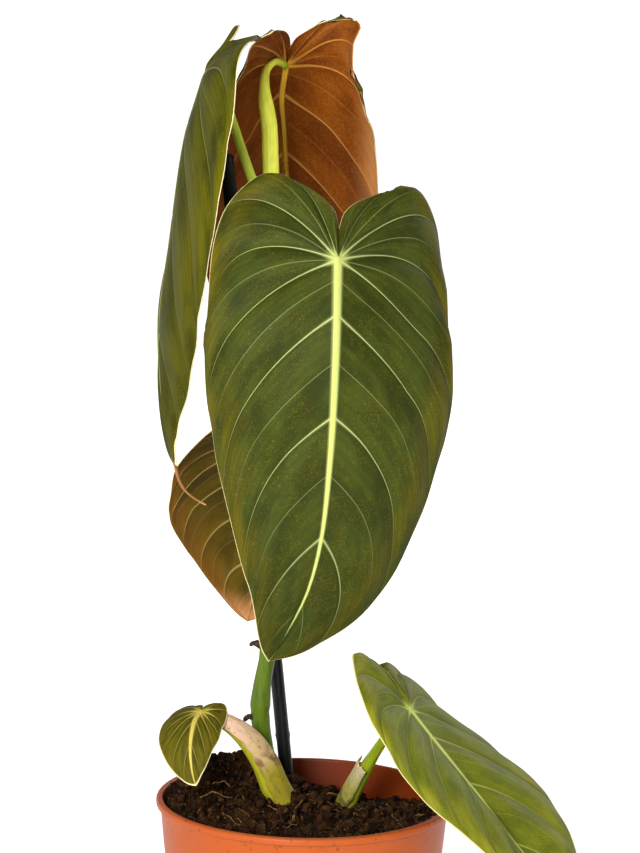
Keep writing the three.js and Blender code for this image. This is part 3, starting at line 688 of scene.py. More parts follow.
def scatter(name, material, count, sizes, flat, detail, seed, lift=0.25):
    """Many crumbs over the soil as one mesh. sizes are the smallest and largest in millimetres."""
    generator = np.random.default_rng(seed)
    shapes = [rough_ball(detail, seed + k, flat) for k in range(CRUMB_SHAPES)]
    points, faces, total = [], [], 0
    for _ in range(count):
        shape, shape_faces = shapes[generator.integers(len(shapes))]
        size = sizes[0] + (sizes[1] - sizes[0]) * generator.random() ** 2.2
        radius = (WALL_TOP - 0.4 * size) * generator.random() ** 0.5
        angle = 2 * math.pi * generator.random()
        x, y = radius * math.cos(angle), radius * math.sin(angle)
        place = (x, y, soil_top(x, y, radius) + lift * size)
        points.append(shape @ turned(generator).T * size + place)
        faces.append(shape_faces + total)
        total += len(shape)
    return make_piece(name, np.vstack(points), np.vstack(faces).tolist(), [material], smooth=False)


for arguments in (
    ("soil_crumbs_fine", peat, 2600, (0.7, 2.0), 0.8, 1, 21),
    ("soil_crumbs_coarse", peat, 560, (2.0, 5.6), 0.75, 2, 22),
    ("bark_chips", bark, 230, (1.2, 5.0), 0.4, 2, 23),
    ("pale_grains", grit, 60, (0.4, 1.2), 0.7, 1, 24),
):
    print(arguments[0], "faces:", len(scatter(*arguments).data.polygons))

# %% [markdown]
# Fibres and fine roots lie over the crumbs. Each is a thin bent tube: most are short and dull, and
# a few are long and pale.

# %% Fibres
FIBRE_SIDES = 5
FIBRE_STEPS = 9


def fibre_line(generator, lengths, stand):
    """Points of one bent fibre that lies on the soil and lifts its end a little."""
    length = lengths[0] + (lengths[1] - lengths[0]) * generator.random() ** 2
    reach = (WALL_TOP - 4) * generator.random() ** 0.5
    angle = 2 * math.pi * generator.random()
    heading = 2 * math.pi * generator.random()
    curve = generator.normal() * 0.7
    x, y = reach * math.cos(angle), reach * math.sin(angle)
    tilt = generator.random() * stand
    line = []
    for s in np.linspace(0, 1, FIBRE_STEPS):
        aim = heading + curve * (s - 0.5)
        x += length / FIBRE_STEPS * math.cos(aim)
        y += length / FIBRE_STEPS * math.sin(aim)
        keep = min(1.0, (WALL_TOP - 1.2) / max(math.hypot(x, y), 1e-6))
        x, y = x * keep, y * keep
        rise = 1.0 + length * tilt * s * (1.6 - s)
        line.append((x, y, soil_height(x, y) + soil_lumps(x, y) * 0.6 + rise))
    return np.array(line)


def fibres(name, material, count, lengths, radius, seed, stand=0.3):
    """Thin tapering fibres over the soil as one mesh."""
    generator = np.random.default_rng(seed)
    points, faces = [], []
    for _ in range(count):
        line = fibre_line(generator, lengths, stand)
        across, over = sides_of(unit(np.gradient(line, axis=0)))
        base = len(points)
        for i in range(FIBRE_STEPS):
            width = radius * (1 - 0.6 * (i / (FIBRE_STEPS - 1)) ** 2)
            for k in range(FIBRE_SIDES):
                angle = 2 * math.pi * k / FIBRE_SIDES
                out = across[i] * math.cos(angle) + over[i] * math.sin(angle)
                points.append(line[i] + out * width)
        faces += [tuple(base + i for i in face) for face in ring_faces(FIBRE_STEPS, FIBRE_SIDES)]
        end = base + (FIBRE_STEPS - 1) * FIBRE_SIDES
        faces.append(tuple(base + k for k in range(FIBRE_SIDES))[::-1])
        faces.append(tuple(end + k for k in range(FIBRE_SIDES)))
    piece = make_piece(name, points, faces, [material])
    face_outward(piece)
    return piece


for arguments in (
    ("coir_fibres", fibre, 46, (4, 13), 0.2, 31),
    ("bark_fibres", bark, 130, (3, 14), 0.32, 32),
    ("long_roots", fibre, 7, (12, 22), 0.36, 37, 0.5),
):
    print(arguments[0], "faces:", len(fibres(*arguments).data.polygons))

# %% [markdown]
# ## The shape of a leaf
# A heart-shaped blade with arching veins could be modelled flat and bent by modifiers, but every
# vein must run from the midrib to the margin and every leaf bends in its own way. So the blade is a
# formula in the plant's own terms. v says which vein a point lies on, from the notch between the
# lobes (0) round to the tip (1). r says how far out it is, from the midrib (0) to the margin (1).
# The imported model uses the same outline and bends, so that the fine blades land on it.

# %% Outline and veins that all the leaves share
# (v, share of the half width, share of the blade's length, or of the lobe's length below zero)
MARGIN = [
    (0, 0, -0.38),
    (0.04, 0.04, -0.6),
    (0.08, 0.16, -0.78),
    (0.125, 0.4, -0.96),
    (0.18, 0.61, -1),
    (0.25, 0.85, -0.62),
    (0.31, 0.945, -0.1),
    (0.375, 0.975, 0.12),
    (0.44, 1, 0.24),
    (0.5, 0.965, 0.39),
    (0.625, 0.79, 0.57),
    (0.75, 0.53, 0.77),
    (0.875, 0.25, 0.91),
    (0.94, 0.115, 0.967),
    (1, 0, 1),
]
# Degrees from straight back in which each side vein leaves the midrib, and how far it goes that
# way before it bends along the margin.
VEIN_HEADING = [(0, 0), (0.125, 17), (0.25, 40), (0.375, 69), (0.5, 110)]
VEIN_HEADING += [(0.625, 124), (0.75, 129), (0.875, 137), (1, 175)]
VEIN_REACH = [(0, 0.6), (0.125, 0.84), (0.375, 0.88), (0.5, 0.67), (1, 0.55)]
SPINE_POWER = 1.5
LOBE_JOIN = 0.3
VEINS = 8
print("side veins in each half:", VEINS)

# %% [markdown]
# Every leaf has the same outline but its own bends, because each hangs from its stalk in its own
# way: the front one droops forward, the rear one shows its back, the left one is seen from its
# edge. So each leaf is described by its midrib, by which way its face looks at both ends, by how
# far each half folds and curls, and by the route of its stalk.

# %% Each leaf's midrib, halves and bends, in millimetres and degrees
def half(width, lobe, fold, curl, lift, lobe_curl, trim=((0, 0), (1, 0))):
    """One half of a blade: fold and curl are given at the lobe's end, joint, halfway and tip.

    trim is how much wider than the common outline this half is, as (v, share) pairs.
    """
    return {"width": width, "lobe": lobe, "fold": fold, "curl": curl, "lift": lift,
            "lobe_curl": lobe_curl, "trim": trim}


LEAVES = {
    "front": {
        "midrib": [(9, -62.5, 334.3), (9, -72.5, 309), (8.5, -74, 283), (7.5, -69, 259), (5, -62, 229),
                   (0, -57, 206), (-8.5, -51, 187), (-15, -45, 175)],
        "faces": [(-0.1, -1, 0.05), (0.2, -1, -0.15)],
        "joint_veins": 0.5,
        "left": half(50.5, 35, (-12, -6, 2, -18), (13, 12, 27, 5), 5, 12),
        "right": half(57, 36.5, (5, 37, 13, -5), (85, 16, 34, 50), 11, 16),
        "petiole": {"foot": 3.2, "end": 2.3, "route": [
            (-18, 3, 227), (-14, -8, 245), (-6, -24, 283), (2, -38, 313), (7, -51, 330), (9, -62.5, 334.3)]},
    },
    "rear": {
        "midrib": [(-13.5, 48, 400), (-15, 50, 387), (-14, 53.5, 375.5), (-13, 58, 361),
                   (-11, 66, 331.5), (-7.5, 67.5, 290), (-4, 62, 248)],
        "faces": [(-0.15, 1, 0.1), (0.05, 1, -0.05)],
        "joint_veins": 0.4,
        "left": half(54, 26, (18, 42, 18, 4), (44, 8, 28, 14), 18, -9,
                     [(0, 0), (0.12, -0.1), (0.17, -0.16), (0.195, -0.19), (0.225, -0.31), (0.25, -0.37),
                      (0.3, -0.34), (0.35, -0.17), (0.4, -0.15), (0.5, -0.18), (0.6, -0.17),
                      (0.8, -0.08), (1, 0)]),
        "right": half(50, 31, (13, 46, 10, 6), (80, 16, 41, 20), 40, 24,
                      [(0, 0), (0.1, -0.25), (0.15, -0.52), (0.18, -0.58), (0.22, -0.46), (0.25, -0.36),
                       (0.31, -0.27), (0.4, -0.16), (0.6, -0.05), (1, 0)]),
        "petiole": {"foot": 3.6, "end": 2.3, "route": [
            (-18.3, 5.9, 297), (-17.3, 7, 315), (-17, 8, 330), (-17, 10, 349), (-18, 13, 361),
            (-19, 18, 378), (-21, 23, 390), (-21, 29, 398.5), (-17.5, 36, 402.5),
            (-14.3, 42, 401.5), (-13.5, 48, 400)]},
    },
    "left": {
        "midrib": [(-45, 8, 398), (-48, 8, 388), (-51.5, 7.5, 376), (-54, 6.5, 361.5),
                   (-57.5, 4, 332), (-60.5, 4, 309), (-61, 4, 287), (-59, 2, 265),
                   (-56, -2, 251), (-53, -7, 244)],
        "faces": [(-1, -0.05, 0.25), (-1, -0.4, -0.4)],
        "joint_veins": 0.5,
        "left": half(44, 23.5, (2, 10, 12, 8), (-4, 20, 25, 15), 12, 14,
                     [(0, 0), (0.1, -0.4), (0.2, -0.45), (0.3, -0.25), (0.5, 0), (1, 0)]),
        "right": half(60, 26, (4, -2, -4, 7), (-15, 31, 25, 30), 8, 50,
                      [(0, 0), (0.12, -0.03), (0.2, -0.07), (0.3, -0.03), (0.4, 0), (1, 0)]),
        "petiole": {"foot": 2.6, "end": 1.9, "route": [
            (-20.5, 4.5, 268), (-26, 0, 290), (-24, -1, 320), (-21, 0, 348), (-26, -2, 361),
            (-33, 0, 380), (-38, 4, 391), (-45, 8, 398)]},
    },
    "lower": {
        "midrib": [(-18.5, 40, 243), (-19, 46.5, 221), (-21, 48, 195.5), (-25, 42, 170.5)],
        "faces": [(-0.25, 1, 0.1), (-0.1, 1, -0.1)],
        "joint_veins": 0.5,
        "vein_heading": [(0, 0), (0.125, 27), (0.25, 40), (0.375, 66), (0.5, 86), (0.625, 94),
                         (0.75, 98), (0.875, 104), (1, 175)],
        "vein_reach": [(0, 0.6), (0.5, 0.85), (0.875, 0.75), (1, 0.55)],
        "left": half(36, 18, (5, 5, 5, 5), (20, 20, 20, 10), 5, 20),
        "right": half(45, 18.5, (10, 7, 7, 5), (37, 21, 27, 8), 4, 15),
        "petiole": {"foot": 2.4, "end": 1.8, "route": [
            (-15.5, 3, 189), (-8, 8, 203), (-6, 18, 222), (-9, 28, 238), (-18.5, 40, 243)]},
    },
    "small": {
        "midrib": [(-42, -16, 146.5), (-44, -21.5, 144.3), (-45, -26.5, 140.3), (-45.3, -30.5, 135.5),
                   (-44.8, -33.5, 130.5), (-43.8, -36, 125.8), (-42.5, -38.5, 122.5)],
        "faces": [(-0.2, -0.55, 0.8), (-0.2, -0.9, 0.15)],
        "joint_veins": 0.5,
        "spine_power": 2.6,
        "vein_heading": [(0, 0), (0.125, 27), (0.25, 48), (0.375, 82), (0.5, 118), (0.625, 138),
                         (0.75, 148), (0.875, 158), (1, 176)],
        "vein_reach": [(0, 0.6), (0.25, 0.84), (0.5, 0.6), (1, 0.55)],
        "left": half(16, 7, (5, 6, 6, 8), (24, 26, 23, 18), 1, 22),
        "right": half(11.5, 9, (7, 9, 9, 9), (22, 25, 23, 14), -7, 14),
        "petiole": {"foot": 3.6, "end": 1.6, "route": [
            (-2, 1, 84), (-6, 1.5, 98), (-9.5, 0.5, 107), (-12.5, -1.5, 113), (-16, -4, 122),
            (-19.5, -6, 128), (-24, -9, 134), (-30, -12, 139.5), (-37, -14, 143.5),
            (-42, -16, 146.5)]},
    },
    "right": {
        "midrib": [(41.5, -20, 150), (52.5, -26.5, 137.5), (64, -34, 125), (70.5, -38.5, 118),
                   (86.5, -50.5, 100.5), (105.5, -66.5, 82.5)],
        "faces": [(0.15, 0, 0.8), (0.6, -0.75, 0.75)],
        "joint_veins": 0.5,
        "left": half(37, 28, (-4, -5, -32, -9), (6, 10, 53, -2), -14, 12),
        "right": half(47, 24, (5, 1, -15, -3), (17, 24, 45, 11), -2, 20),
        "petiole": {"foot": 3.2, "end": 1.8, "route": [
            (12, 20, 78), (15, 19, 90), (17, 17.5, 99), (22, 10, 112), (28.5, 0, 127),
            (34.5, -10, 139), (39, -17, 145), (41.5, -20, 150)]},
    },
}

# %% The midrib and its directions
def midrib_reach(leaf):
    """Distance along the midrib of each of its points."""
    points = np.array(leaf["midrib"], float)
    return np.r_[0, np.cumsum(np.linalg.norm(np.diff(points, axis=0), axis=1))]


def midrib_place(leaf, s):
    """Points of the midrib at distances s along it."""
    reach, points = midrib_reach(leaf), np.array(leaf["midrib"], float)
    return np.stack([through(np.c_[reach, points[:, k]], s) for k in range(3)], -1)


def midrib_frame(leaf, along):
    """Place, direction, upper face and right-hand side of the midrib at a distance along it."""
    length = midrib_reach(leaf)[-1]
    s = np.clip(along, 0, length)
    step = length / 120
    ahead = midrib_place(leaf, np.minimum(s + step, length))
    tangent = unit(ahead - midrib_place(leaf, np.maximum(s - step, 0)))
    start, end = (unit(f) for f in leaf["faces"])
    face = start + (end - start) * (s / length)[..., None]
    face = unit(face - tangent * np.sum(face * tangent, -1, keepdims=True))
    return midrib_place(leaf, s), tangent, face, np.cross(face, tangent)


print("blade lengths:", {name: round(float(midrib_reach(leaf)[-1])) for name, leaf in LEAVES.items()})

# %% [markdown]
# A blade is first laid out flat, as if pressed in a book, and then bent: each strip across it starts
# at the fold angle and turns on by the curl angle. Bending a strip along an arc keeps its length,
# as a real leaf's does.

# %% The pressed blade
def pressed(leaf, side, v, r):
    """Where a point lies on the flat blade: x out from the midrib, y along it."""
    length = midrib_reach(leaf)[-1]
    notch = (leaf["left"]["lobe"] + leaf["right"]["lobe"]) / 2
    rows = []
    for place, across, along in MARGIN:
        lobe = notch + (side["lobe"] - notch) * smooth_step(across, 0, LOBE_JOIN)
        rows.append((place, across * side["width"], along * (lobe if along < 0 else length)))
    rows = np.array(rows, float)
    margin_x = through(rows[:, :2], v) * (1 + through(side["trim"], v))
    margin_y = through(rows[:, [0, 2]], v)
    past = np.clip((v - leaf["joint_veins"]) / (1 - leaf["joint_veins"]), 0, 1)
    spine_y = length * past ** leaf.get("spine_power", SPINE_POWER)
    heading = np.radians(through(leaf.get("vein_heading", VEIN_HEADING), v))
    bend = through(leaf.get("vein_reach", VEIN_REACH), v) * np.hypot(margin_x, margin_y - spine_y)
    q = 1 - r
    x = 2 * r * q * bend * np.sin(heading) + r * r * margin_x
    y = q * q * spine_y + 2 * r * q * (spine_y - bend * np.cos(heading)) + r * r * margin_y
    return x, y


# %% The bent blade
def bent_strip(start, turn, share, size):
    """How far a strip goes out and down that starts at one angle and turns on by another."""
    k = np.where(np.abs(turn) < 1e-6, 1e-6, turn)
    out = size * (np.sin(start + k * share) - np.sin(start)) / k
    return out, size * (np.cos(start) - np.cos(start + k * share)) / k


def blade_surface(leaf, sign, v, r):
    """Points of the blade's middle surface, and where they lie on the flat blade."""
    side, other = (leaf["left"], leaf["right"]) if sign < 0 else (leaf["right"], leaf["left"])
    length = midrib_reach(leaf)[-1]
    x, y = pressed(leaf, side, v, r)
    point, tangent, face, right = midrib_frame(leaf, y)
    place = np.clip(np.where(y < 0, y / side["lobe"], y / length), -1, 1)
    stations = (-1, 0, 0.5, 1)
    fold, curl = (np.radians(through(list(zip(stations, side[k])), place)) for k in ("fold", "curl"))
    out, down = bent_strip(fold, curl, x / side["width"], side["width"])
    point = point + right * (sign * out)[..., None] - face * down[..., None]
    # Near the midrib both lobes bend alike, so that they stay joined.
    own = smooth_step(x / side["width"], 0, LOBE_JOIN)
    lobe, lift, lobe_curl = (
        own * side[k] + (1 - own) * (side[k] + other[k]) / 2 for k in ("lobe", "lift", "lobe_curl"))
    behind = np.maximum(0, -y) / lobe
    back, up = bent_strip(np.radians(lift), np.radians(lobe_curl), behind, lobe)
    return point - tangent * back[..., None] - face * up[..., None], x, y


# %% [markdown]
# ## The blade as a mesh
# Grid lines run along the veins and crowd towards them, so a groove on the upper face and a raised
# rib on the underside are real geometry. Between the veins the blade puffs up a little, which
# makes the quilting that catches the light. Three sets of UV numbers carry millimetres to the
# materials: how far a point is from its vein, from the midrib and from the margin.

# %% Blade grid
ROWS_PER_VEIN = 14
COLUMNS = 30
BLADE_THICKNESS = 0.5
HALVES = (-1, 1)


def vein_rows():
    """Values of v, crowded towards each vein."""
    steps = (1 - np.cos(np.linspace(0, math.pi, ROWS_PER_VEIN + 1))) / 2
    rows = [(k + s) / VEINS for k in range(VEINS) for s in steps[:-1]]
    return np.array([*rows, 1.0])


def out_rows():
    """Values of r, crowded towards the midrib and the margin."""
    return np.r_[np.linspace(0, 1, COLUMNS) ** 1.6 * 0.985, 0.9935, 1.0]


print("rows and columns of a half blade:", len(vein_rows()), len(out_rows()))

# %% [markdown]
# The materials need to know how far each point is from a vein, the midrib, the margin and the
# joint. Those are measured on the bent surface, some in millimetres and some in widths of the vein,
# which is thickest at the joint and tapers outward.

# %% Vein widths and distances
VEIN_FOOT_REACH = 9
SECOND_VEIN_WIDTH = 0.2
RIB_TAPER = [(0, 1), (0.3, 0.74), (0.62, 0.44), (0.8, 0.27), (1, 0.1)]


def nearest_vein(v, offset):
    """How far v is from the nearest vein, leaving out the notch line and the tip."""
    veins = np.arange(1, VEINS) if offset == 0 else np.arange(VEINS) + offset
    return np.abs(v[..., None] - veins / VEINS).min(-1)


def half_blade(leaf, looks, v, r, sign):
    """The middle surface of one half and the numbers at its points."""
    surface, x, y = blade_surface(leaf, sign, v, r)
    length = midrib_reach(leaf)[-1]
    along_margin = np.linalg.norm(np.gradient(surface, v[:, 0], axis=0), axis=-1)
    outward = np.linalg.norm(np.gradient(surface, r[0], axis=1), axis=-1)
    from_rib = np.sqrt(x**2 + np.minimum(y, 0) ** 2 + np.maximum(y - length, 0) ** 2)
    vein_width = looks["vein"] + looks["vein_foot"] * np.exp(-from_rib / VEIN_FOOT_REACH)
    vein_width = vein_width * (1 - 0.5 * r)
    rib_width = looks["rib"] * through(RIB_TAPER, y / length)
    return {
        "surface": surface,
        "v": v,
        "side": r * sign,
        "primary": nearest_vein(v, 0) * along_margin / vein_width,
        "secondary": nearest_vein(v, 0.5) * along_margin / SECOND_VEIN_WIDTH,
        "rib": from_rib / rib_width,
        "along": y / length,
        "edge": (1 - r) * outward,
        "away": np.hypot(x, y),
        "vein_width": vein_width,
        "rib_width": rib_width,
    }


print("v midway between two veins is off by", float(nearest_vein(np.array(1.5 / VEINS), 0)))

# %% [markdown]
# The two halves meet along the midrib and the notch, and many grid places fall together at the
# joint and the tip. Each of those gets one shared vertex, so that the blade is watertight and its
# shading has no seam. Faces whose corners fall together lose the extra ones.

# %% Joining the halves
def place_name(leaf, rows, sign, i, j):
    """What a grid place is. The joint, the midrib, the notch and the tip belong to both halves."""
    if i == len(rows) - 1:
        return "tip"
    if j == 0:
        return "joint" if rows[i] <= leaf["joint_veins"] else ("midrib", i)
    return ("notch", j) if i == 0 else (sign, i, j)


def shared_vertices(leaf, rows, columns):
    """The grid place of each vertex, and the vertex at each grid place."""
    owners, numbers = [], {}
    vertex = {sign: np.zeros((len(rows), columns), int) for sign in HALVES}
    for sign in HALVES:
        for i in range(len(rows)):
            for j in range(columns):
                name = place_name(leaf, rows, sign, i, j)
                if name not in numbers:
                    numbers[name] = len(owners)
                    owners.append((sign, i, j))
                vertex[sign][i, j] = numbers[name]
    return owners, vertex


print("vertices of the front blade's middle surface:",
      len(shared_vertices(LEAVES["front"], vein_rows(), len(out_rows()))[0]))

# %% Faces of a blade
def blade_faces(vertex):
    """Faces of the middle surface, and the grid places at their corners."""
    faces, corners = [], []
    rows, columns = vertex[1].shape
    for sign in HALVES:
        for i in range(rows - 1):
            for j in range(columns - 1):
                around = [(i, j), (i + 1, j), (i + 1, j + 1), (i, j + 1)]
                corner = {}
                for a, b in around if sign < 0 else around[::-1]:
                    corner.setdefault(int(vertex[sign][a, b]), (sign, a, b))
                if len(corner) > 2:
                    faces.append(list(corner))
                    corners.append(list(corner.values()))
    return faces, corners


def margin_faces(vertex, count):
    """Faces round the margin that close the gap between the two skins."""
    rows, columns = vertex[1].shape
    rim = [(1, i) for i in range(rows)] + [(-1, i) for i in range(rows - 2, 0, -1)]
    faces, corners = [], []
    for k, (sign, i) in enumerate(rim):
        next_sign, next_i = rim[(k + 1) % len(rim)]
        a, b = int(vertex[sign][i, -1]), int(vertex[next_sign][next_i, -1])
        faces.append([a, b, count + b, count + a])
        corners.append([(sign, i, columns - 1), (next_sign, next_i, columns - 1)] * 2)
    return faces, corners


print("places from margin to margin:", len(HALVES) * len(out_rows()) - 1)

# %% [markdown]
# The middle surface is then thickened into two skins. Between the veins it puffs up, and towards
# the margin it waves. The upper skin is grooved at each vein and domed over the midrib. On the
# under skin the veins and the midrib stand out as round ribs.

# %% The two skins
RIM_THINS_FROM = 0.985
WAVE_LENGTH = 17
GROOVE_DEPTH = 0.16
MIDRIB_DOME, UNDER_VEIN, UNDER_RIB = 0.25, 0.9, 1.1


def upward_normals(leaf, points, faces):
    """The normals that look out of the upper face, and whether the faces look down instead."""
    flat = bpy.data.meshes.new("middle")
    flat.from_pydata(points.tolist(), [], faces)
    normals = np.zeros(len(points) * 3, np.float32)
    flat.vertices.foreach_get("normal", normals)
    normals = normals.reshape(-1, 3).astype(float)
    bpy.data.meshes.remove(flat)
    _, _, up, _ = midrib_frame(leaf, np.array([midrib_reach(leaf)[-1] / 2]))
    look_down = bool(np.sum(normals @ up[0]) < 0)
    return (-normals if look_down else normals), look_down


def ridge(distance, reach):
    """A round ridge that is 1 high at distance 0 and ends at reach."""
    return np.sqrt(np.clip(1 - (distance / reach) ** 2, 0, 1))


def blade_skins(facts, normals, looks):
    """Points of the upper and the under skin."""
    points, r = facts["surface"], np.abs(facts["side"])
    puff = np.abs(np.sin(VEINS * math.pi * facts["v"])) ** 0.8
    puff *= smooth_step(r, 0.02, 0.25) * (1 - smooth_step(r, 0.8, 1)) * looks["puff"]
    own_wave = Vector((looks["seed"], 0, 0))
    wave = np.array([noise.noise(Vector(p) / WAVE_LENGTH + own_wave) for p in points])
    middle = points + normals * (puff + looks["wave"] * wave * r**2)[:, None]
    half_depth = BLADE_THICKNESS / 2 * (1 - 0.5 * smooth_step(r, RIM_THINS_FROM, 1))
    groove = GROOVE_DEPTH * np.exp(-facts["primary"] ** 2) * (1 - r)
    mound = MIDRIB_DOME * ridge(facts["rib"], 1) * facts["rib_width"]
    under_vein = UNDER_VEIN * facts["vein_width"] * ridge(facts["primary"], 1.7)
    under_vein = under_vein * (1 - smooth_step(r, 0.8, 1))
    under_rib = UNDER_RIB * facts["rib_width"] * ridge(facts["rib"], 1.1)
    upper = middle + normals * (half_depth - groove + mound)[:, None]
    lower = middle - normals * (half_depth + np.maximum(under_vein, under_rib))[:, None]
    return upper, lower


print("half a ridge out, it is", round(float(ridge(0.5, 1)), 2), "high")

# %% [markdown]
# Four UV layers carry the numbers from the grid to the materials. A UV layer is only a pair of
# numbers at each corner of a face, so it can hold millimetres as well as places on a flat pattern.

# %% Blade builder
BLADE_LAYERS = {
    "veins": ("primary", "secondary"),
    "spine": ("rib", "along"),
    "edge": ("edge", "away"),
    "place": ("v", "side"),
}


def blade_piece(leaf_name, materials, looks):
    """The blade of one leaf as a closed mesh. looks says how puffed, ribbed and wavy it is."""
    leaf = LEAVES[leaf_name]
    v, r = np.meshgrid(vein_rows(), out_rows(), indexing="ij")
    halves = {sign: half_blade(leaf, looks, v, r, sign) for sign in HALVES}
    owners, vertex = shared_vertices(leaf, v[:, 0], v.shape[1])
    facts = {key: np.array([halves[s][key][i, j] for s, i, j in owners]) for key in halves[1]}
    faces, corners = blade_faces(vertex)
    normals, look_down = upward_normals(leaf, facts["surface"], faces)
    if look_down:
        faces = [face[::-1] for face in faces]
        corners = [corner[::-1] for corner in corners]
    upper, lower = blade_skins(facts, normals, looks)
    count = len(owners)
    edge_faces, edge_corners = margin_faces(vertex, count)
    all_faces = faces + [[count + i for i in face[::-1]] for face in faces] + edge_faces
    all_corners = corners + [corner[::-1] for corner in corners] + edge_corners
    material_slots = [0] * len(faces) + [1] * len(faces) + [0] * len(edge_faces)
    piece = make_piece(f"{leaf_name}_blade", np.vstack([upper, lower]), all_faces, materials,
                       f"{leaf_name}_leaf_blade", face_materials=material_slots)
    for layer, keys in BLADE_LAYERS.items():
        values = [halves[s][key][i, j] for corner in all_corners for s, i, j in corner for key in keys]
        piece.data.uv_layers.new(name=layer).data.foreach_set("uv", values)
    face_outward(piece)
    return piece


print("numbers carried by a blade:", [key for keys in BLADE_LAYERS.values() for key in keys])

# %% [markdown]
# ## Velvet and copper
# The upper face of this plant is velvet: thousands of tiny domed cells that scatter light, dark
# green in the blade and olive-yellow towards the margin, with pale veins. The underside is bare,
# smoother and copper-coloured, with raised tan veins. Both are painted with the numbers that the
# mesh carries, so that lines keep their real width in millimetres however the leaf bends.

# %% What the mesh tells the material
def leaf_facts(material):
    """Sockets with the numbers that the blade's mesh carries."""
    facts = {}
    for layer, keys in BLADE_LAYERS.items():
        vector = add(material, "ShaderNodeUVMap", {"uv_map": layer}).outputs[0]
        parts = add(material, "ShaderNodeSeparateXYZ", links={0: vector})
        facts[keys[0]], facts[keys[1]] = parts.outputs[0], parts.outputs[1]
    facts["r"] = add(material, "ShaderNodeMath", {"operation": "ABSOLUTE"}, {0: facts["side"]}).outputs[0]
    return facts


def vein_patches(material, facts, per_half, outward, detail=3.0):
    """Noise drawn out along the veins: so many patches from notch to tip, and so many outward."""
    far = add(material, "ShaderNodeMath", {"operation": "MULTIPLY", 1: per_half}, {0: facts["v"]})
    out = add(material, "ShaderNodeMath", {"operation": "MULTIPLY", 1: outward}, {0: facts["side"]})
    place = add(material, "ShaderNodeCombineXYZ", links={0: far.outputs[0], 1: out.outputs[0]})
    settings = {"Scale": 1.0, "Detail": detail}
    return add(material, "ShaderNodeTexNoise", settings, {"Vector": place.outputs[0]}).outputs["Fac"]


def parallel_lines(material, facts, per_vein):
    """Fine lines that run with the veins, from 0 to 1."""
    turns = {"operation": "MULTIPLY", 1: 2 * math.pi * VEINS * per_vein}
    angle = add(material, "ShaderNodeMath", turns, {0: facts["v"]}).outputs[0]
    wave = add(material, "ShaderNodeMath", {"operation": "SINE"}, {0: angle}).outputs[0]
    halved = {"operation": "MULTIPLY_ADD", 1: 0.5, 2: 0.5}
    return add(material, "ShaderNodeMath", halved, {0: wave}).outputs[0]


# %% Velvet ground
# The domed cells are about 0.05 mm across, far too fine to see, so they are drawn ten times as
# coarse. The fine lines between the veins are a millimetre or two apart, as on the plant.
CELL_MM = 0.55
SPECK_MM = 0.6
FLECK_AREAS_MM = 9


def velvet_ground(material, facts, deep, mid, warm, margin, warm_from, tip_shade):
    """Green patches along the veins, olive towards the margin, painted shade towards the tip, with fine
    cells and lines.
    """
    patches = where(material, (vein_patches(material, facts, 24, 3.5), 0.36, 0.64))
    blotches = vein_patches(material, facts, 15, 2.5, 4)
    outer = where(material, (facts["r"], warm_from, 1.0), (blotches, 0.34, 0.66))
    cells, areas = grain(material, CELL_MM, 2), grain(material, FLECK_AREAS_MM, 3)
    return paint(material, deep, [
        (patches, 1, mid),
        (outer, 1, warm),
        # Painted shade: darker towards the tip, which curls away from the light.
        (where(material, (facts["along"], 0.3, 1.0)), tip_shade, deep),
        (where(material, (cells, 0.45, 0.68), (areas, 0.34, 0.62)), 0.5, warm),
        (where(material, (grain(material, SPECK_MM, 0), 0.72, 0.84)), 0.07, margin),
        (parallel_lines(material, facts, 9), 0.24, deep),
    ])


# %% Velvet veins
def velvet_veins(material, facts, ground, deep, vein, rib, vein_share):
    """Painted shade in the troughs beside the veins, pale veins in them, a star at the joint, and the pale
    midrib.
    """
    primary, r = facts["primary"], facts["r"]
    return paint(material, ground, [
        # Painted shade: darker green in the grooves beside each vein, where the quilted blade shades them.
        (where(material, (primary, 9, 1.5)), 0.5, deep),
        (where(material, (primary, 3.4, 0.8)), 0.14, vein),
        (where(material, (facts["secondary"], 1.6, 0.5), (r, 1.0, 0.3)), 0.28 * vein_share, vein),
        (where(material, (primary, 1.2, 0.6), (r, 1.2, 0.3), (facts["along"], 1.7, 0.0)), vein_share, vein),
        (where(material, (facts["away"], 7.0, 0.5), (primary, 4.5, 0.4)), 0.8, rib),
        (where(material, (facts["rib"], 1.7, 0.9)), 0.4, vein),
        (where(material, (facts["rib"], 1.1, 0.6)), 1, rib),
    ])


# %% Velvet upper face
def make_velvet(name, deep, mid, warm, vein, rib, margin, warm_from=0.5, vein_share=0.85,
                margin_width=0.55, tip_shade=0.5, shine=0.1):
    """The upper face of one leaf, with a pale margin of margin_width millimetres."""
    material, shader = start_material(
        name, Roughness=0.6, IOR=1.42, Specular_IOR_Level=shine,
        Sheen_Weight=0.03, Sheen_Roughness=0.4, Sheen_Tint=colour("#cfd3b0"))
    facts = leaf_facts(material)
    ground = velvet_ground(material, facts, deep, mid, warm, margin, warm_from, tip_shade)
    veined = velvet_veins(material, facts, ground, deep, vein, rib, vein_share)
    # The pale margin line is partly the leaf's own pale edge and partly painted glow of light through the
    # thin edge.
    rim = where(material, (facts["edge"], margin_width * 1.5, margin_width * 0.5))
    coat(material, shader, paint(material, veined, [(rim, 0.85, margin)]), grain(material, 0.8, 2), 0.06)
    return material


# %% [markdown]
# The underside has no velvet: its skin is smooth and coloured by the red pigment under it, copper
# on the rear leaf and bronze on the others. Towards the margin of one half the colour is painted
# paler, a painted glow of light that shines through the thin blade from behind, and the raised
# veins are tan. It is painted the same way, with other colours, wider veins and less contrast
# between patches.

# %% Copper underside
UNDER_GRAIN_MM = 1.2


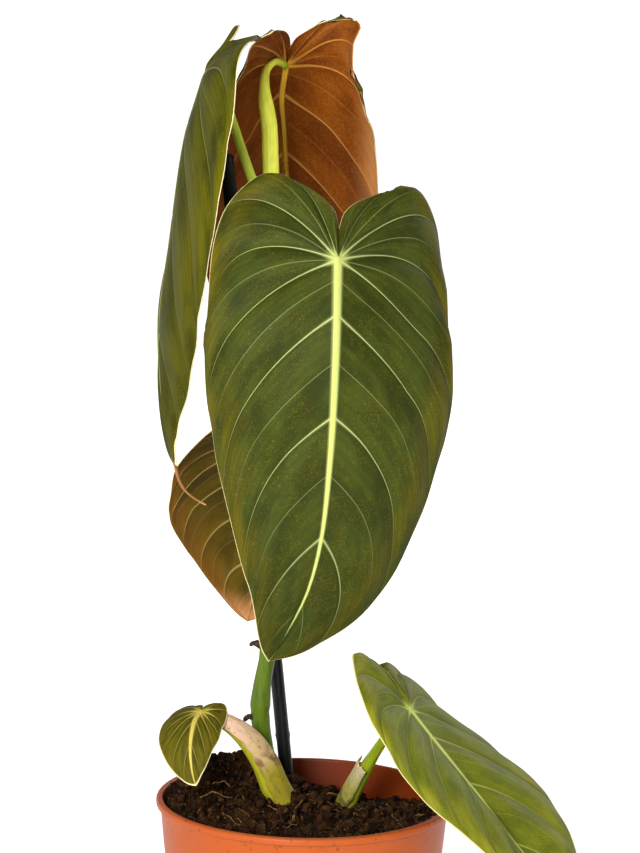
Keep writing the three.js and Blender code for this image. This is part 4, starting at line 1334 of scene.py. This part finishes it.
def under_veins(material, facts, dark, vein, rib, pale, vein_share):
    """Layers of fine lines, tan veins, the star at the joint, the midrib and the margin."""
    primary = facts["primary"]
    return [
        (parallel_lines(material, facts, 7), 0.12, dark),
        (where(material, (facts["secondary"], 2.4, 0.4)), 0.22 * vein_share, vein),
        (where(material, (primary, 1.8, 0.9), (facts["r"], 1.3, 0.5)), vein_share, vein),
        (where(material, (facts["away"], 8.0, 1.0), (primary, 4.5, 0.4)), 0.7, rib),
        (where(material, (facts["rib"], 1.25, 0.9)), 1, rib),
        # A pale line along the margin, partly the leaf's own edge and partly painted glow of light through
        # it.
        (where(material, (facts["edge"], 0.7, 0.2)), 0.5, pale),
    ]


def make_copper(name, dark, mid, pale, vein, rib, backlit_half=1, backlit_from=0.45, vein_share=0.9, tip=None):
    """The underside of one leaf. One half, given as -1 or 1, gets a painted glow of backlight towards its
    margin.
    """
    material, shader = start_material(
        name, Roughness=0.5, IOR=1.42, Specular_IOR_Level=0.08, Sheen_Weight=0.02, Sheen_Roughness=0.5)
    facts = leaf_facts(material)
    toward = {"operation": "MULTIPLY", 1: backlit_half}
    this_half = add(material, "ShaderNodeMath", toward, {0: facts["side"]}).outputs[0]
    layers = [
        (where(material, (vein_patches(material, facts, 14, 2.5), 0.32, 0.7)), 1, mid),
        # Painted light: a paler glow towards one half's margin, where light shines through the blade from
        # behind.
        (where(material, (this_half, backlit_from, 1.0), (facts["v"], 0.2, 0.45)), 0.85, pale),
    ]
    if tip:
        layers.append((where(material, (facts["along"], 0.82, 1.0)), 1, tip))
    fine = where(material, (grain(material, UNDER_GRAIN_MM, 3), 0.4, 0.7))
    layers.append((fine, 0.08, pale))
    layers += under_veins(material, facts, dark, vein, rib, pale, vein_share)
    coat(material, shader, paint(material, dark, layers), fine, 0.04)
    return material


# %% [markdown]
# The leaves differ in age. The big ones are dark green, the left one is olive, the right one is
# still fresh green and the smallest is yellowish with bright veins.

# %% Leaf colours
DARK_GREEN = {
    "deep": "#282f08", "mid": "#394210", "warm": "#5f5202",
    "vein": "#a6ae6c", "rib": "#b4bc66", "margin": "#e0d29a",
}
OLIVE = {
    "deep": "#2e3004", "mid": "#484806", "warm": "#5c5806",
    "vein": "#8a8a44", "rib": "#979a4a", "margin": "#e6d8a8",
}
FRESH = {
    "deep": "#505812", "mid": "#646a14", "warm": "#8a8422",
    "vein": "#a3a84c", "rib": "#b8c45c", "margin": "#d8d28c",
}
YOUNG = {
    "deep": "#3c3a06", "mid": "#524e0a", "warm": "#635806",
    "vein": "#a3903a", "rib": "#c0ae50", "margin": "#e6dca0",
}
COPPER = {"dark": "#5e2902", "mid": "#7c4107", "pale": "#c88c54", "vein": "#b27a34", "rib": "#cc9c2c"}
BRONZE = {"dark": "#3b3008", "mid": "#56450d", "pale": "#704a14", "vein": "#95834a", "rib": "#a08e48"}
PINK_TIP = "#bc8050"

upper_faces = {
    "front": make_velvet("dark_leaf_velvet", **DARK_GREEN),
    "rear": make_velvet("rear_leaf_velvet", **DARK_GREEN),
    "left": make_velvet("olive_leaf_velvet", warm_from=0.2, vein_share=0.75, shine=0.04, **OLIVE),
    "lower": make_velvet("lower_leaf_velvet", **DARK_GREEN),
    "small": make_velvet("young_leaf_velvet", warm_from=0.2, margin_width=0.6, tip_shade=0.1, **YOUNG),
    "right": make_velvet("fresh_leaf_velvet", vein_share=0.75, tip_shade=0.0, **FRESH),
}
undersides = {
    "front": make_copper("front_leaf_underside", **BRONZE),
    "rear": make_copper("copper_leaf_underside", backlit_half=-1, backlit_from=0.5, **COPPER),
    "left": make_copper("left_leaf_underside", **BRONZE),
    "lower": make_copper("bronze_leaf_underside", vein_share=0.7, tip=PINK_TIP, **BRONZE),
    "small": make_copper("young_leaf_underside", **BRONZE),
    "right": make_copper("right_leaf_underside", **BRONZE),
}
print("leaf materials:", len(upper_faces) + len(undersides))

# %% [markdown]
# A leaf's relief differs too. Puff, wave, vein and rib sizes are in millimetres, and vein_foot is
# how much wider a vein is where it leaves the joint.

# %% The blades
leaf_looks = {
    "front": {"puff": 2.0, "wave": 1.0, "vein": 0.2, "vein_foot": 0.45, "rib": 1.65, "seed": 3},
    "rear": {"puff": 1.3, "wave": 0.9, "vein": 0.3, "vein_foot": 0.5, "rib": 2.1, "seed": 11},
    "left": {"puff": 1.2, "wave": 0.8, "vein": 0.26, "vein_foot": 0.3, "rib": 1.2, "seed": 5},
    "lower": {"puff": 0.8, "wave": 1.2, "vein": 0.34, "vein_foot": 0.3, "rib": 1.2, "seed": 7},
    "small": {"puff": 0.35, "wave": 0.2, "vein": 0.21, "vein_foot": 0.12, "rib": 1.1, "seed": 9},
    "right": {"puff": 1.9, "wave": 1.0, "vein": 0.24, "vein_foot": 0.35, "rib": 1.45, "seed": 13},
}
for leaf_name, looks in leaf_looks.items():
    materials = [upper_faces[leaf_name], undersides[leaf_name]]
    blade = blade_piece(leaf_name, materials, looks)
    print(blade.name, "faces:", len(blade.data.polygons))

# %% [markdown]
# ## Stem and leaf stalks
# The stem and the stalks are round and fleshy, so each is a tube whose girth changes along its
# route: thick at the foot, slim in the middle and swollen again where it turns into the blade.
# A curve object with a bevel could do it, but rings of points also carry how far along and how
# far round a point is, which the streaks in the skin need.

# %% Numbers carried along a tube
ALONG_SCALE = 100
TUBE_ACROSS = 4


def add_layers(piece, **layers):
    """Writes a pair of numbers for every point into a UV layer of each name."""
    for layer, values in layers.items():
        corners = [c for loop in piece.data.loops for c in values[loop.vertex_index]]
        piece.data.uv_layers.new(name=layer).data.foreach_set("uv", corners)


print("a tube's own length is stored in units of", ALONG_SCALE, "mm")

# %% Tubes
def tube(name, route, girth, material, stands_for, sides=28, step=1.6, relief=0.0, seed=0):
    """A closed tube. girth is (share of the length, radius) pairs, and relief roughens it."""
    steps = max(4, int(walk(route, 8)[2] / step))
    places, directions, length = walk(route, steps)
    across, over = sides_of(directions)
    shares = np.linspace(0, 1, steps + 1)
    radii = through(girth, shares)
    ends = np.minimum(shares, 1 - shares) * length
    radii = radii * np.sqrt(np.clip(1 - (1 - np.clip(ends / (0.5 * radii), 0, 1)) ** 2, 0.02, 1))
    points, around, along = [], [], []
    for i in range(steps + 1):
        for angle in 2 * math.pi * np.arange(sides) / sides:
            direction = across[i] * math.cos(angle) + over[i] * math.sin(angle)
            lumps = noise.noise(Vector(direction * 1.4 + places[i] / 6) + Vector((seed, 0, 0)))
            points.append(places[i] + direction * (radii[i] + relief * lumps))
            around.append((0.5 + 0.5 * math.cos(angle), 0.5 + 0.5 * math.sin(angle)))
            along.append((shares[i], shares[i] * length / ALONG_SCALE))
    faces = ring_faces(steps + 1, sides)
    last = steps * sides
    faces += [tuple(range(sides))[::-1], tuple(last + k for k in range(sides))]
    piece = make_piece(name, points, faces, [material], stands_for)
    add_layers(piece, around=around, along=along)
    face_outward(piece)
    return piece


# %% Streaks along a tube
def streaks(material, size_mm, stretch, detail=2.0):
    """Noise of size_mm across a tube and stretch times as long along it."""
    around = add(material, "ShaderNodeUVMap", {"uv_map": "around"}).outputs[0]
    along = add(material, "ShaderNodeUVMap", {"uv_map": "along"}).outputs[0]
    circle = add(material, "ShaderNodeSeparateXYZ", links={0: around})
    distance = add(material, "ShaderNodeSeparateXYZ", links={0: along}).outputs[1]
    squeezed = {"operation": "MULTIPLY", 1: ALONG_SCALE / (TUBE_ACROSS * stretch)}
    length = add(material, "ShaderNodeMath", squeezed, {0: distance}).outputs[0]
    place = {0: circle.outputs[0], 1: circle.outputs[1], 2: length}
    place = add(material, "ShaderNodeCombineXYZ", links=place).outputs[0]
    settings = {"Scale": TUBE_ACROSS / size_mm, "Detail": detail}
    return add(material, "ShaderNodeTexNoise", settings, {"Vector": place}).outputs["Fac"]


def along_share(material):
    """How far along its tube a point is, from 0 to 1."""
    uv = add(material, "ShaderNodeUVMap", {"uv_map": "along"}).outputs[0]
    return add(material, "ShaderNodeSeparateXYZ", links={0: uv}).outputs[0]


# %% [markdown]
# Living plant skin is a thin waxy film over wet green tissue, so it has a soft gloss. Its fibres
# show as fine darker streaks that run lengthwise, under a millimetre wide, with a few broader ones.
# The foot of a stalk is greener, where it comes out of the stem.

# %% Stalk skin
STREAK_MM, BROAD_STREAK_MM = 0.8, 2.4


def make_stalk_skin(name, light, dark, foot, tip=None, gloss=0.42):
    """Streaked plant skin. foot and tip are the colours at the two ends."""
    material, shader = start_material(name, Roughness=gloss, IOR=1.42, Specular_IOR_Level=0.24)
    fine = where(material, (streaks(material, STREAK_MM, 14, 3), 0.42, 0.68))
    share = along_share(material)
    layers = [
        (fine, 0.55, dark),
        (where(material, (streaks(material, BROAD_STREAK_MM, 5, 2), 0.45, 0.75)), 0.4, dark),
        (where(material, (share, 0.4, 0.02)), 1, foot),
    ]
    if tip:
        layers.append((where(material, (share, 0.84, 0.97)), 1, tip))
    layers.append((where(material, (grain(material, 0.9, 2), 0.66, 0.78)), 0.25, dark))
    coat(material, shader, paint(material, light, layers), fine, 0.05)
    return material


stem_skin = make_stalk_skin("green_stem_skin", "#52660e", "#33490c", "#40600c")
print(stem_skin.name, "nodes:", len(stem_skin.node_tree.nodes))

# %% [markdown]
# The stem climbs in a slight S beside the stake. At each node, where a leaf has grown, it swells
# and carries a narrow ring scar.

# %% The climbing stem
STEM_ROUTE = [(-3, 12, 60), (-8, 11, 104), (-15, 7, 121), (-18.5, 4, 141), (-18, 3, 152),
              (-16, 2.5, 166), (-15.5, 3, 190), (-18.5, 4, 225), (-21, 5, 262), (-18, 6, 300)]
STEM_NODES = (0.36, 0.6, 0.74, 0.88)
STEM_TAPER = [(0, 4.4), (0.3, 3.5), (1, 3.4)]
NODE_SWELLING, NODE_REACH = 0.7, 0.03
SCAR_DEPTH, SCAR_REACH, SCAR_BELOW = 0.35, 0.006, 0.012


def stem_girth():
    """Radii along the stem, with a swelling and a ring scar at each node."""
    girth = []
    for share in np.linspace(0, 1, 121):
        radius = float(through(STEM_TAPER, share))
        for node in STEM_NODES:
            radius += NODE_SWELLING * math.exp(-(((share - node) / NODE_REACH) ** 2))
            radius -= SCAR_DEPTH * math.exp(-(((share - node + SCAR_BELOW) / SCAR_REACH) ** 2))
        girth.append((share, radius))
    return girth


stem_piece = tube("stem", STEM_ROUTE, stem_girth(), stem_skin, "climbing_stem",
                  step=1.2, relief=0.25, seed=2)
print("stem faces:", len(stem_piece.data.polygons))

# %% [markdown]
# Most stalks taper evenly and swell a little where they turn into the blade. Three are fleshier:
# the rear leaf's is thick and yellow until just before it hooks over, and those of the two young
# shoots are swollen by the sheath they came out of.

# %% Leaf stalks
stalk_skins = {
    "front": make_stalk_skin("front_stalk_skin", "#aab93c", "#7f9a2a", "#8aa52f"),
    "rear": make_stalk_skin("rear_stalk_skin", "#f0f25a", "#bfcb30", "#8fa52c", tip="#9ab428", gloss=0.36),
    "left": make_stalk_skin("left_stalk_skin", "#ccd84a", "#9db42a", "#a9bd34"),
    "lower": make_stalk_skin("lower_stalk_skin", "#a0ad38", "#7c8c2c", "#8a9c30"),
    "small": make_stalk_skin("shoot_stalk_skin", "#a8a224", "#7f7c18", "#857a1e"),
    "right": make_stalk_skin("right_stalk_skin", "#8d9a1c", "#5f7a10", "#98962c"),
}
STALK_SWELL = 0.5
FLESHY_GIRTHS = {
    "rear": [(0, 3.6), (0.3, 3.4), (0.62, 3.2), (0.71, 3.0), (0.78, 2.1), (0.87, 1.4), (1, 1.7)],
    "small": [(0, 5.2), (0.3, 5.9), (0.42, 5.5), (0.56, 4.9), (0.7, 3.9), (0.85, 2.4), (1, 1.6)],
    "right": [(0, 4.4), (0.3, 3.8), (0.5, 2.9), (0.7, 2.0), (1, 2.0)],
}
for leaf_name, skin in stalk_skins.items():
    stalk = LEAVES[leaf_name]["petiole"]
    foot, end = stalk["foot"], stalk["end"]
    swollen = end + STALK_SWELL
    girth = [(0, foot), (0.35, (foot + end) / 2), (0.8, end), (0.93, swollen), (1, swollen)]
    girth = FLESHY_GIRTHS.get(leaf_name, girth)
    tube(f"{leaf_name}_stalk", stalk["route"], girth, skin, f"{leaf_name}_leaf_petiole",
         relief=0.12, seed=4)
print("stalks:", len(stalk_skins))

# %% [markdown]
# The left leaf ends in a long drip tip, which has dried brown and curled to the right. It goes on
# from the blade as a thin tapering thread.

# %% Drip tip
drip_skin = make_stalk_skin("dried_drip_tip", "#9a6a3c", "#4c2e0e", "#4a4410", tip="#b88a58", gloss=0.6)
DRIP_ROUTE = [(-56, -2, 251), (-54.5, -5, 247), (-53.3, -7.4, 243.4), (-52.2, -8.4, 239.6),
              (-50, -9, 235.8), (-46.5, -9.5, 232.6), (-41, -9.5, 229.4)]
DRIP_GIRTH = [(0, 0.8), (0.3, 0.72), (0.7, 0.5), (1, 0.36)]
drip_tip = tube("drip_tip", DRIP_ROUTE, DRIP_GIRTH, drip_skin, None,
                sides=14, step=0.6, relief=0.15, seed=8)
print("drip tip faces:", len(drip_tip.data.polygons))

# %% [markdown]
# Old aerial roots have dried to short dark stubs on the stem. They are small hooked tubes with a
# rough skin, and their colour is that of wet bark.

# %% Dry root stubs
def make_dry_root():
    """Dull dark skin with a grain of a millimetre."""
    material, shader = start_material("dried_root", Roughness=0.85, Specular_IOR_Level=0.15)
    grains = where(material, (grain(material, 1.0, 4), 0.35, 0.65))
    coat(material, shader, paint(material, "#231a12", [(grains, 1, "#4a3a28")]), grains, 0.12)
    return material


dry_root = make_dry_root()
STUB_BEND = np.array([0, 0, 0.8])
stem_places = walk(STEM_ROUTE, 100)[0]
for name, percent, toward, length, radius in (
    ("upper", 46, (-1, -0.3, 0.3), 4.5, 1.2),
    ("lower", 34, (-1, -0.4, -0.1), 3.5, 1.1),
):
    start = stem_places[percent]
    heading = unit(toward)
    middle = start + heading * (3.5 + length / 2) + STUB_BEND
    end = start + heading * (3.6 + length) - STUB_BEND
    stub = tube(f"{name}_stub", [start + heading * 2.5, middle, end],
                [(0, radius * 1.2), (0.5, radius), (1, radius * 0.45)], dry_root,
                f"{name}_root_stub", sides=12, step=0.5, relief=0.6, seed=6)
    print(stub.name, "faces:", len(stub.data.polygons))

# %% [markdown]
# ## Stake and ties
# The stake is a steel rod in a PVC coating, near black with a green cast. Both it and the soft
# bands that tie the stem to it are extruded plastic: a low gloss, with lighter scuffs where they
# have rubbed. The scuffs are drawn out lengthwise.

# %% Stake and tie materials
def make_coating(name, deep, pale, roughness):
    """Dark plastic with paler scuffs about 5 mm long."""
    material, shader = start_material(name, Roughness=roughness, IOR=1.46, Specular_IOR_Level=0.3)
    scuffs = where(material, (grain(material, 5, 5, (1, 1, 4)), 0.5, 0.72))
    coat(material, shader, paint(material, deep, [(scuffs, 0.6, pale)]), scuffs, 0.04)
    return material


stake_coating = make_coating("pvc_stake_coating", "#0c1210", "#1e2a28", 0.42)
tie_plastic = make_coating("soft_tie_plastic", "#101110", "#242625", 0.5)

print("plastics:", stake_coating.name, tie_plastic.name)

# %% [markdown]
# The coating has rows of small nubs that keep a tie from sliding down. Modelled as bumps in the
# rings of the rod, they stay round in every view, which a bump map would not at the outline.

# %% Stake mesh
STAKE_FOOT, STAKE_TOP = np.array([1, 24, 34.0]), np.array([-35.8, 15.1, 367.0])
STAKE_RADIUS = 2.8
STAKE_SIDES = 24
NUB_SPACING = 9
NUB_HEIGHT, NUB_REACH = 0.34, 1.1


def stake_piece():
    """The rod with a pointed foot and a domed top, and two nubs in every row."""
    length = np.linalg.norm(STAKE_TOP - STAKE_FOOT)
    direction = (STAKE_TOP - STAKE_FOOT) / length
    across, over = (a[0] for a in sides_of(np.array([direction])))
    profile = [(0.0, 0.3), (9.0, 2.6)] + [(s, STAKE_RADIUS) for s in np.arange(10, length - 1.5, 1.1)]
    profile += [(length - 1.0, 2.6), (length - 0.3, 1.9), (length, 0.3)]
    points = []
    for s, radius in profile:
        row, past = divmod(s, NUB_SPACING)
        swell = NUB_HEIGHT * math.exp(-(((past - NUB_SPACING / 2) / NUB_REACH) ** 2))
        for k in range(STAKE_SIDES):
            angle = 2 * math.pi * k / STAKE_SIDES
            nub = swell * max(0.0, math.cos(2 * (angle + row * math.pi / 4))) ** 6
            out = across * math.cos(angle) + over * math.sin(angle)
            points.append(STAKE_FOOT + direction * s + out * (radius + nub))
    faces = ring_faces(len(profile), STAKE_SIDES)
    last = (len(profile) - 1) * STAKE_SIDES
    faces += [tuple(range(STAKE_SIDES))[::-1], tuple(last + k for k in range(STAKE_SIDES))]
    piece = make_piece("stake", points, faces, [stake_coating], "support_stake")
    face_outward(piece)
    return piece


print("stake faces:", len(stake_piece().data.polygons))

# %% [markdown]
# A tie goes round both the stem and the stake, and pulls in between them. Its path is two arcs
# blended into one loop, along which a flat band with rounded edges is swept.

# %% Ties
TIE_HEIGHTS = (207, 250)
TIE_WIDTH, TIE_THICKNESS = 5.0, 1.1
TIE_STEPS = 96
ROUND_STEM, ROUND_STAKE = 5.3, 3.9
TIE_CLEARANCE = 0.2


def tie_path(height):
    """The loop round the stem and the stake at a height, seen from above."""
    places = walk(STEM_ROUTE, 300)[0]
    stem_spot = places[np.argmin(np.abs(places[:, 2] - height))][:2]
    share = (height - STAKE_FOOT[2]) / (STAKE_TOP[2] - STAKE_FOOT[2])
    between = (STAKE_FOOT + (STAKE_TOP - STAKE_FOOT) * share)[:2] - stem_spot
    span = np.linalg.norm(between)
    heading = unit(between)
    side = np.array([-heading[1], heading[0]])
    path = []
    for angle in 2 * math.pi * np.arange(TIE_STEPS) / TIE_STEPS:
        cosine = math.cos(angle)
        radius = ROUND_STEM + (ROUND_STAKE - ROUND_STEM) * smooth_step(cosine, -0.3, 0.5)
        reach = (span if cosine > 0 else 0) * smooth_step(cosine, -0.5, 0.5) + cosine * radius
        path.append(stem_spot + heading * reach + side * math.sin(angle) * radius)
    return np.array(path)


print("a tie goes round in", len(tie_path(TIE_HEIGHTS[0])), "steps")

# %% Tie pieces
def band_section():
    """The band's section: a rectangle with rounded corners, as (out, up) pairs."""
    half_depth, half_width = TIE_THICKNESS / 2, TIE_WIDTH / 2
    section = []
    for angle in np.linspace(0, 2 * math.pi, 15)[:-1]:
        out = math.copysign(abs(math.cos(angle)) ** 0.5 * half_depth, math.cos(angle))
        up = math.copysign(abs(math.sin(angle)) ** 0.6 * half_width, math.sin(angle))
        section.append((out, up))
    return section


def tie_piece(name, node, height):
    """A soft band round the stem and the stake."""
    path, section = tie_path(height), band_section()
    along = np.roll(path, -1, 0) - np.roll(path, 1, 0)
    outward = unit(np.c_[along[:, 1], -along[:, 0]])
    points = []
    for spot, out in zip(path, outward):
        points += [(*(spot + out * (u + TIE_CLEARANCE)), height + w) for u, w in section]
    count = len(section)
    faces = []
    for i in range(TIE_STEPS):
        for k in range(count):
            a, b = i * count, ((i + 1) % TIE_STEPS) * count
            faces.append((a + k, a + (k + 1) % count, b + (k + 1) % count, b + k))
    piece = make_piece(name, points, faces, [tie_plastic], node)
    face_outward(piece)
    return piece


for number, height in enumerate(TIE_HEIGHTS, 1):
    tie = tie_piece(f"tie_{number}", f"plant_tie_{number}", height)
    print(tie.name, "faces:", len(tie.data.polygons))

# %% [markdown]
# ## Papery sheaths
# Each young leaf comes out of a sheath, a leaf-like wrapping that dries to a thin papery skin. It
# stays greenish at its foot, turns pinkish white above, and has brown stains and speckles where
# it dried first. Thin dry skin lets a little light through, so it has some subsurface scattering.

# %% Sheath material
STAIN_MM, SPECKLE_MM = 4, 1.6


def make_papery_sheath(name, foot, body, top, blotch):
    """Dry skin that goes from foot to body to top, stained brown halfway up."""
    material, shader = start_material(
        name, Roughness=0.7, IOR=1.4, Specular_IOR_Level=0.25,
        Subsurface_Weight=0.15, Subsurface_Radius=(0.002, 0.0015, 0.001))
    share = along_share(material)
    stained = (share, 0.26, 0.42), (share, 0.62, 0.46), (grain(material, STAIN_MM, 3), 0.4, 0.6)
    wrinkles = where(material, (streaks(material, 0.6, 9, 3), 0.5, 0.7))
    colours = paint(material, foot, [
        (where(material, (share, 0.3, 0.55)), 1, body),
        (where(material, (share, 0.55, 1.0)), 1, top),
        (where(material, *stained), 0.8, blotch),
        (where(material, (grain(material, SPECKLE_MM, 4), 0.58, 0.7)), 0.5, blotch),
        (wrinkles, 0.3, blotch),
    ])
    coat(material, shader, colours, wrinkles, 0.08)
    return material


shoot_sheath = make_papery_sheath("dry_shoot_sheath", "#978c22", "#c2a674", "#d2ae96", "#6a3e2c")
pale_sheath = make_papery_sheath("pale_papery_sheath", "#7c7c20", "#a09a48", "#c0b088", "#55402a")
tan_sheath = make_papery_sheath("tan_papery_sheath", "#9a8a3c", "#bca25c", "#c9ab6a", "#6e5327")
print("sheath materials:", [m.name for m in (shoot_sheath, pale_sheath, tan_sheath)])

# %% [markdown]
# A sheath is a strip of rings that goes part of the way round the stalk. It stands a little off the
# stalk, narrows towards its tip, and is crinkled by noise of two sizes, with a ragged top edge.

# %% Sheaths
SHEATH_THICKNESS = 0.35
SHEATH_COLUMNS = 28
STALK_STEPS = 120
TORN_SHARE = 0.1
CRINKLE, FINE_CRINKLE = 0.35, 0.16
RAGGEDNESS = 0.9


def crinkled_strip(route, share_range, wrap, tip_wrap, toward, flare, clear, seed):
    """Outer points, inner points, places round the stalk and shares along the strip."""
    places, directions, _ = walk(route, STALK_STEPS)
    first, last = (round(STALK_STEPS * share) for share in share_range)
    outer, inner, around, along = [], [], [], []
    for i in range(first, last + 1):
        rise = (i - first) / (last - first)
        facing = unit(np.array(toward) - directions[i] * np.dot(toward, directions[i]))
        across = np.cross(directions[i], facing)
        torn = 1 + TORN_SHARE * noise.noise(Vector((rise * 9, seed, 0)))
        half_wrap = math.radians(wrap + (tip_wrap - wrap) * rise**3) / 2 * torn
        for k in range(SHEATH_COLUMNS + 1):
            angle = half_wrap * (2 * k / SHEATH_COLUMNS - 1)
            out = facing * math.cos(angle) + across * math.sin(angle)
            crinkle = CRINKLE * noise.noise(Vector((angle * 3.2, rise * 3, seed)))
            crinkle += FINE_CRINKLE * noise.noise(Vector((angle * 9, rise * 7, seed + 5)))
            radius = float(through(clear, rise)) + flare * rise**2 + crinkle * (0.4 + rise)
            ragged = RAGGEDNESS * noise.noise(Vector((angle * 2.6, seed + 9, 0)))
            spot = places[i] + directions[i] * (ragged * smooth_step(rise, 0.8, 1))
            outer.append(spot + out * (radius + SHEATH_THICKNESS))
            inner.append(spot + out * radius)
            around.append((0.5 + 0.5 * math.cos(angle), 0.5 + 0.5 * math.sin(angle)))
            along.append((rise, rise * 0.4))
    return outer, inner, around, along


print("rings along a whole stalk:", STALK_STEPS + 1)

# %% Sheath pieces
def sheath_piece(name, node, leaf_name, material, **shape):
    """A thin strip with closed edges round part of a stalk."""
    strip = crinkled_strip(LEAVES[leaf_name]["petiole"]["route"], **shape)
    outer, inner, around, along = strip
    count = SHEATH_COLUMNS + 1
    total = len(outer)
    rows = total // count
    faces = ring_faces(rows, count, closed=False)
    faces += [tuple(total + i for i in face[::-1]) for face in faces]
    edge = list(range(count))
    edge += [i * count + SHEATH_COLUMNS for i in range(1, rows)]
    edge += [(rows - 1) * count + k for k in range(SHEATH_COLUMNS - 1, -1, -1)]
    edge += [i * count for i in range(rows - 2, 0, -1)]
    for k, a in enumerate(edge):
        b = edge[(k + 1) % len(edge)]
        faces.append((a, b, total + b, total + a))
    piece = make_piece(name, outer + inner, faces, [material], node)
    add_layers(piece, around=around * 2, along=along * 2)
    face_outward(piece)
    return piece


sheaths = [
    sheath_piece("small_sheath", "small_shoot_sheath", "small", shoot_sheath,
                 share_range=(0.29, 0.9), wrap=180, tip_wrap=130, toward=(0.7, -0.4, 0.6), flare=0.2,
                 clear=[(0, 5.9), (0.3, 5.7), (0.6, 5.3), (0.8, 4.5), (1, 3.2)], seed=3),
    sheath_piece("right_sheath", "right_shoot_sheath", "right", pale_sheath,
                 share_range=(0.14, 0.54), wrap=150, tip_wrap=130, toward=(-0.85, -0.35, 0.2), flare=0.7,
                 clear=[(0, 4.4), (0.4, 4.2), (1, 3.5)], seed=8),
    sheath_piece("upper_sheath", "top_sheath", "rear", tan_sheath,
                 share_range=(0.02, 0.49), wrap=150, tip_wrap=25, toward=(-1, -0.2, 0), flare=3.2,
                 clear=[(0, 4.2), (0.5, 3.8), (1, 3.6)], seed=12),
]
print("sheath faces:", [len(piece.data.polygons) for piece in sheaths])

# %% Sizes
look_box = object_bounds()
boxes = {"packed": packed_box, "look": look_box}
for name, box in boxes.items():
    print(name, [[round(x, 4) for x in corner] for corner in box])
